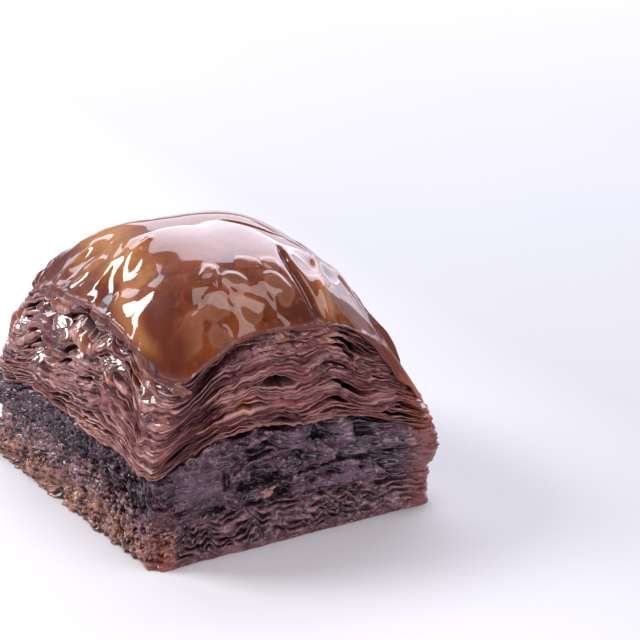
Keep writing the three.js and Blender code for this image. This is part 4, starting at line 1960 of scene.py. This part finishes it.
@dataclass
class HandPlaced:
    """Nut chips in the filling and pools of syrup caught between the sheets."""

    form: Form

    SWAY = 0.2
    CHIPS = table(
        Placed,
        (Side.SOUTH, -4.9, 7.7, (1.05, 0.6, 0.62), 0.1, 0.35),
        (Side.SOUTH, 11.2, 5.9, (0.5, 0.3, 0.4), 0.5, 0.2),
        (Side.WEST, 14.0, 10.4, (0.7, 0.4, 0.5), 0.6),
        (Side.WEST, -3.4, 7.7, (0.8, 0.4, 0.55), 0.5, -0.3),
        (Side.EAST, 6.0, 12.0, (1.1, 0.5, 0.7), 0.6, 0.3),
        (Side.EAST, -9.0, 9.4, (0.8, 0.4, 0.6), 0.6),
        (Side.NORTH, 5.0, 12.2, (1.2, 0.5, 0.7), 0.6, -0.4),
        (Side.NORTH, -9.0, 9.8, (0.7, 0.4, 0.5), 0.6),
    )
    POOLS = table(
        Placed,
        (Side.WEST, 6.4, 26.4, (2.2, 0.2, 1.3), 0.3, 0.5, 0.8),
        (Side.WEST, -7.0, 28.2, (0.8, 0.15, 1.5), 0.3, 0.6, 0.8),
        (Side.WEST, -8.8, 25.4, (2.3, 0.2, 1.3), 0.35, -0.2, 0.8),
        (Side.WEST, 11.4, 20.4, (1.1, 0.2, 2.0), 0.4, 0.4, 0.7),
        (Side.WEST, -17.6, 23.6, (1.8, 0.2, 1.1), 0.0, 0.3, 0.8),
        (Side.WEST, -21.4, 25.0, (1.5, 0.2, 0.8), -0.2, 0.1, 0.8),
        (Side.WEST, 14.0, 26.4, (1.3, 0.15, 0.8), 0.4, 0.3, 0.6),
        (Side.WEST, 18.0, 22.4, (1.2, 0.15, 0.7), 0.4, 0.2, 0.8),
        (Side.EAST, 8.0, 24.0, (1.4, 0.3, 0.9), 0.3, 0.3, 0.8),
        (Side.EAST, -4.0, 22.0, (1.1, 0.3, 0.8), 0.3, 0.0, 0.8),
        (Side.NORTH, 7.0, 24.6, (1.3, 0.3, 0.9), 0.3, 0.0, 0.8),
        (Side.NORTH, -8.0, 22.4, (1.1, 0.3, 0.8), 0.3, 0.4, 0.8),
    )

    def build(self) -> None:
        """Set both kinds, as one piece each."""
        nut = GrainFinish("nut_chip", (0.52, 0.28, 0.22), (0.36, 0.16, 0.12), 0.45, 0.4)
        self.set("nut_chips", self.CHIPS, Dress(nut.material(), "chocolate"), 0.3)
        self.set("syrup_pools", self.POOLS, Dress(SyrupFinish().material(), "cocoa_pastry"), 0.08)

    def place(self, thing: Placed, shape: Array) -> Array:
        """Put a shape in its place, as far inside the foot as the side is there.

        Args:
            thing: What is set, and where.
            shape: The shape's points, round its own middle.

        Returns:
            The points from the middle of the piece.
        """
        outline = self.form.outline
        outward = np.array(thing.side.value, dtype=float)
        along = np.abs(outward[::-1])
        edge = outward * (np.array(outline.half) @ np.abs(outward)) + along * thing.along
        low = self.form.filling.height(edge - outward * self.form.FILLING_INSET)
        high = self.form.crust.height(edge - outward * self.form.STACK_LEAN)
        share = np.clip((thing.height - low) / (high - low), 0, 1)
        flat = edge - outward * (self.form.lean(share) + thing.inset)
        across = shape[:, 0] * math.cos(thing.tilt) - shape[:, 2] * math.sin(thing.tilt)
        up = shape[:, 0] * math.sin(thing.tilt) + shape[:, 2] * math.cos(thing.tilt)
        rise = up * math.cos(thing.back) + shape[:, 1] * math.sin(thing.back)
        out = shape[:, 1] * math.cos(thing.back) - up * math.sin(thing.back)
        placed = (flat + across[:, None] * (along + self.SWAY * outward)
                  + out[:, None] * (outward - self.SWAY * along))
        return outline.squeeze(placed, thing.height + rise)

    def set(self, name: str, things: Sequence[Placed], dress: Dress, rough: float) -> None:
        """Make all things of one kind, and join them.

        Args:
            name: The piece's name.
            things: What is set.
            dress: What it wears.
            rough: How crumpled each one is.
        """
        points, faces = [], []
        for number, thing in enumerate(things):
            shape = grain_shape(f"{name}_shape", 1.0, (1.0, 1.0, 1.0), 0.7, 300 + number,
                                dress.material, 4)
            local = np.array([vertex.co[:] for vertex in shape.data.vertices]) / MM
            corners = np.array([list(face.vertices) for face in shape.data.polygons])
            bpy.data.objects.remove(shape)
            local = local * np.array(thing.size)
            local[:, 1] += rough * rough_noise(local, 1.5, 340 + number, 2)
            faces.append(corners + sum(len(part) for part in points))
            points.append(self.place(thing, local))
        piece = mesh_object(name, np.concatenate(points) + self.form.outline.shift, faces, {})
        adopt(piece, dress)


# Studio

@dataclass(frozen=True)
class Softbox:
    """A lit panel that faces the piece. Bearings run clockwise from north, seen from above."""

    name: str
    bearing: float
    elevation: float
    distance: float
    size: Pair
    brightness: float
    colour: Colour
    turn: float = 0.0

    def build(self, target: Vector) -> None:
        """Hang the panel.

        Args:
            target: What it faces.
        """
        light = bpy.data.lights.new(self.name, "AREA")
        light.shape = "RECTANGLE"
        light.size, light.size_y = self.size
        light.energy = self.brightness * math.pi * self.size[0] * self.size[1]
        light.color = self.colour
        lamp = bpy.data.objects.new(self.name, light)
        bearing, rise = math.radians(self.bearing), math.radians(self.elevation)
        across = math.cos(rise)
        away = Vector((math.sin(bearing) * across, math.cos(bearing) * across, math.sin(rise)))
        lamp.location = target + away * self.distance
        lamp.rotation_euler = away.to_track_quat("Z", "Y").to_euler()
        lamp.rotation_euler.rotate_axis("Z", math.radians(self.turn))
        bpy.context.scene.collection.objects.link(lamp)


@dataclass(frozen=True)
class Studio:
    """Camera, lights and a pale floor. The camera's places are measured from the middle of the piece."""

    middle: Triple
    eye: Triple = (-0.20232, -0.3625, 0.18629)
    target: Triple = (0.01441, -0.00897, 0.02486)
    lens: float = 168.75
    sensor: float = 36.0
    floor_size: float = 4.0
    floor_gap: float = 0.0001
    west_floor: Colour = (0.87, 0.885, 0.91)
    shaded_east_floor: Colour = (0.56, 0.57, 0.59)
    floor_cloud: Colour = (0.84, 0.87, 0.92)
    sky: Colour = (0.93, 0.9, 0.97)
    sky_strength: float = 0.18

    SOFTBOXES = table(
        Softbox,
        ("back_panel", 31, 33, 0.7, (0.98, 0.38), 4.2, (0.87, 0.9, 1.06), 6.0),
        ("horizon_panel", 41, 10, 0.7, (0.56, 0.21), 1.9, (0.92, 0.88, 1.02), 8.0),
        ("left_panel", -42, 38, 0.7, (0.28, 0.22), 17.0, (1.0, 0.97, 1.0)),
        ("top_panel", 125, 78, 0.8, (0.36, 0.8), 3.6, (1.0, 0.9, 0.92)),
        ("right_panel", 75, 14, 0.8, (0.5, 0.3), 0.5, (0.95, 0.88, 1.0)),
        ("front_panel", 205, 24, 1.0, (0.9, 0.5), 0.2, (1.0, 0.94, 1.0)),
        ("low_panel", 196, 7, 0.8, (0.9, 0.12), 6.0, (0.95, 0.9, 1.0)),
    )

    def build(self) -> None:
        """Set the camera, the lights, the floor and the colour handling."""
        scene = bpy.context.scene
        camera = bpy.data.cameras.new("camera")
        camera.lens, camera.sensor_width = self.lens, self.sensor
        camera.clip_start, camera.clip_end = 0.01, 20.0
        holder = bpy.data.objects.new("camera", camera)
        middle = Vector(self.middle) * MM
        eye, target = middle + Vector(self.eye), middle + Vector(self.target)
        holder.location = eye
        holder.rotation_euler = (eye - target).to_track_quat("Z", "Y").to_euler()
        scene.collection.objects.link(holder)
        scene.camera = holder
        for softbox in self.SOFTBOXES:
            softbox.build(target)
        self.floor()
        world = bpy.data.worlds.new("studio")
        world.use_nodes = True
        sky = world.node_tree.nodes["Background"].inputs
        sky["Color"].default_value, sky["Strength"].default_value = (*self.sky, 1.0), self.sky_strength
        scene.world = world
        scene.view_settings.view_transform = "Standard"
        scene.view_settings.look = "None"

    def floor(self) -> None:
        """Lay a pale, faintly glossy floor under the piece, with painted shade that makes it darker towards
        the east.
        """
        bpy.ops.mesh.primitive_plane_add(size=self.floor_size, location=(0, 0, -self.floor_gap))
        floor = bpy.context.object
        floor.name = "floor"
        shader = Shader("pale_floor")
        cloud = shader.noise(60.0, 2.0)
        # Painted shade: the floor grows darker towards the east.
        across = shader.span(shader.axis("X"), -0.02, 0.07)
        floor_with_shade = shader.mix(across, self.west_floor, self.shaded_east_floor)
        shader.set(Base_Color=shader.lay(floor_with_shade, self.floor_cloud, cloud, 0.0, 1.0, 0.1),
                   Roughness=0.6, IOR=1.2, Specular_IOR_Level=0.1)
        floor.data.materials.append(shader.material)


# Assembly

def flaky_stack(form: Form, relief: CrustRelief) -> SheetStack:
    """The sheets between the filling and the crust.

    Args:
        form: The form that the layers share.
        relief: The shape of the crust that they stay below.

    Returns:
        The stack, not yet built.
    """
    rim = form.rim_ring()
    wander = 0.35 * rough_noise(form.outline.ring(form.STACK_LEAN, rim), 6.0, 20, 2)
    return SheetStack(
        form, form.filling_ring() + 0.05, rim + wander - 0.35, relief,
        openings=(
            *Lens.row(Side.SOUTH, (-1.8, 0.46, 8.0, 1.7), (11.0, 0.35, 14.0, 1.0), (13.5, 0.78, 5.0, 1.3),
                (8.0, 0.53, 6.0, 0.4), (14.0, 0.28, 8.0, 0.4), (-1.5, 0.05, 5.5, 0.9),
                (-10.0, 0.06, 6.0, 0.4), (-8.0, 0.9, 5.5, 1.0), (-0.5, 0.72, 6.0, 0.25),
                (0.5, 0.84, 7.0, 0.35), (-6.0, 0.3, 6.0, 0.3), (17.0, 0.5, 5.0, 0.5),
                (2.5, 0.95, 8.0, 0.4)),
            *Lens.row(Side.WEST, (-14.0, 0.62, 8.0, 1.2), (-4.0, 0.48, 10.0, 0.8), (4.0, 0.62, 11.0, 1.1),
                (9.0, 0.8, 12.0, 1.2), (-2.0, 0.88, 11.0, 1.1), (-17.5, 0.78, 9.0, 1.0),
                (15.0, 0.55, 10.0, 1.0), (19.0, 0.86, 11.0, 1.2), (10.5, 0.34, 11.0, 0.6),
                (-10.0, 0.25, 9.0, 0.45), (-8.0, 0.7, 7.0, 0.8), (2.0, 0.14, 12.0, 0.4)),
            *Lens.row(Side.EAST, (4.0, 0.5, 9.0, 1.4), (-8.0, 0.7, 8.0, 1.2), (14.0, 0.8, 7.0, 1.3),
                (-3.0, 0.3, 8.0, 0.8)),
            *Lens.row(Side.NORTH, (8.0, 0.5, 9.0, 1.4), (-7.0, 0.7, 8.0, 1.3), (0.0, 0.3, 8.0, 0.8),
                (14.0, 0.8, 6.0, 1.1)),
        ),
        lobes=(
            *Lens.row(Side.WEST, (2.6, 0.72, 13.0, 1.2), (-6.6, 0.76, 9.0, 1.3), (-17.8, 0.93, 7.0, 1.0),
                (-12.2, 0.97, 6.0, 0.9), (1.2, 0.52, 8.0, 1.0), (18.5, 0.6, 8.0, 1.1),
                (-2.6, 0.95, 8.0, 0.9), (10.0, 0.92, 8.0, 1.0), (-19.5, 0.7, 3.0, 0.8)),
            *Lens.row(Side.EAST, (0.0, 0.72, 7.0, 1.3), (10.0, 0.6, 6.0, 1.2)),
            *Lens.row(Side.NORTH, (4.0, 0.74, 7.0, 1.3), (-12.0, 0.6, 6.0, 1.1)),
        ),
        ruffles=table(
            Ruffle, (1.0, -23.5, 2.0, 0.75, 0.95), (9.3, -23.5, 1.9, 0.72, 0.75),
            (5.2, -23.5, 1.9, 0.74, -0.45), (14.0, -23.5, 2.0, 0.6, -0.35), (-6.5, -23.5, 2.6, 0.5, 0.35),
            (-20.5, 6.0, 6.0, 0.6, 0.4),
        ),
        hollows=table(
            Ruffle, (-13.5, -23.5, 2.6, 0.84, 2.8, 0.14), (-8.6, -23.5, 2.2, 0.9, 1.4, 0.07),
            (-15.6, -24.5, 2.0, 0.5, 1.3, 0.35), (-1.8, -24.0, 2.6, 0.47, 1.2, 0.05),
            (13.5, -23.5, 2.2, 0.78, 1.0, 0.06), (-21.0, -14.0, 3.2, 0.62, 1.0, 0.06),
            (-20.5, 4.0, 4.5, 0.62, 0.8, 0.06), (-20.0, 9.0, 4.5, 0.82, 0.9, 0.06),
        ),
        wave=sides(0.4, 0.4, 0.22, 0.3),
        gape=sides(0.6, 0.6, 0.9, 0.7),
        ragged=sides(0.6, 0.6, 0.7, 0.5),
        curl=sides(0.2, 0.2, 0.15, 0.1),
        swell=sides(1.5, 1.5, 1.2, 0.2),
        wetness=sides(0.3, 0.3, 0.35, 0.05),
    )


def main() -> None:
    """Build the piece from the foot up, and the studio round it."""
    logging.basicConfig(level=logging.INFO, format="%(name)s: %(message)s")
    form = Form.from_frame()
    relief = CrustRelief(form)
    stack = flaky_stack(form, relief)
    soaked = Dress(SoakedFinish().material(), "soaked_pastry", "base_sheets")
    base = SoakedMass(form, "soaked_sheets", np.zeros(form.outline.count), form.base_ring() - 0.02,
                      (0.0, form.base.middle - 0.3), 76).build(soaked)
    chocolate = Dress(ChocolateFinish().material(), "chocolate", "chocolate_filling")
    filling = ChocolateMass(form, "chocolate_filling_mass", form.base_ring() + 0.02,
                            form.filling_ring() - 0.05, (form.base.middle, form.filling.middle - 0.2),
                            88).build(chocolate)
    sheets = Dress(SheetFinish().material(), "cocoa_pastry", "flaky_stack")
    stack.build(sheets)
    Core(form, "stack_core", stack.floor + 0.2, stack.ceiling - 0.4, form.FILLING_INSET + 2.6,
         form.STACK_LEAN + 2.4, (form.filling.middle, form.crust.middle - 4.0),
         sides(0.6, 0.6, 1.0, 0.1)).build(sheets)
    glazed = Dress(CrustFinish().material(), "cocoa_pastry", "flaky_stack")
    GlazedCrust(form, relief, stack.rim + 0.4).build(glazed)
    Strewings(form).build(filling, base)
    HandPlaced(form).build()
    Studio(form.outline.shift).build()


if __name__ == "__main__":
    main()
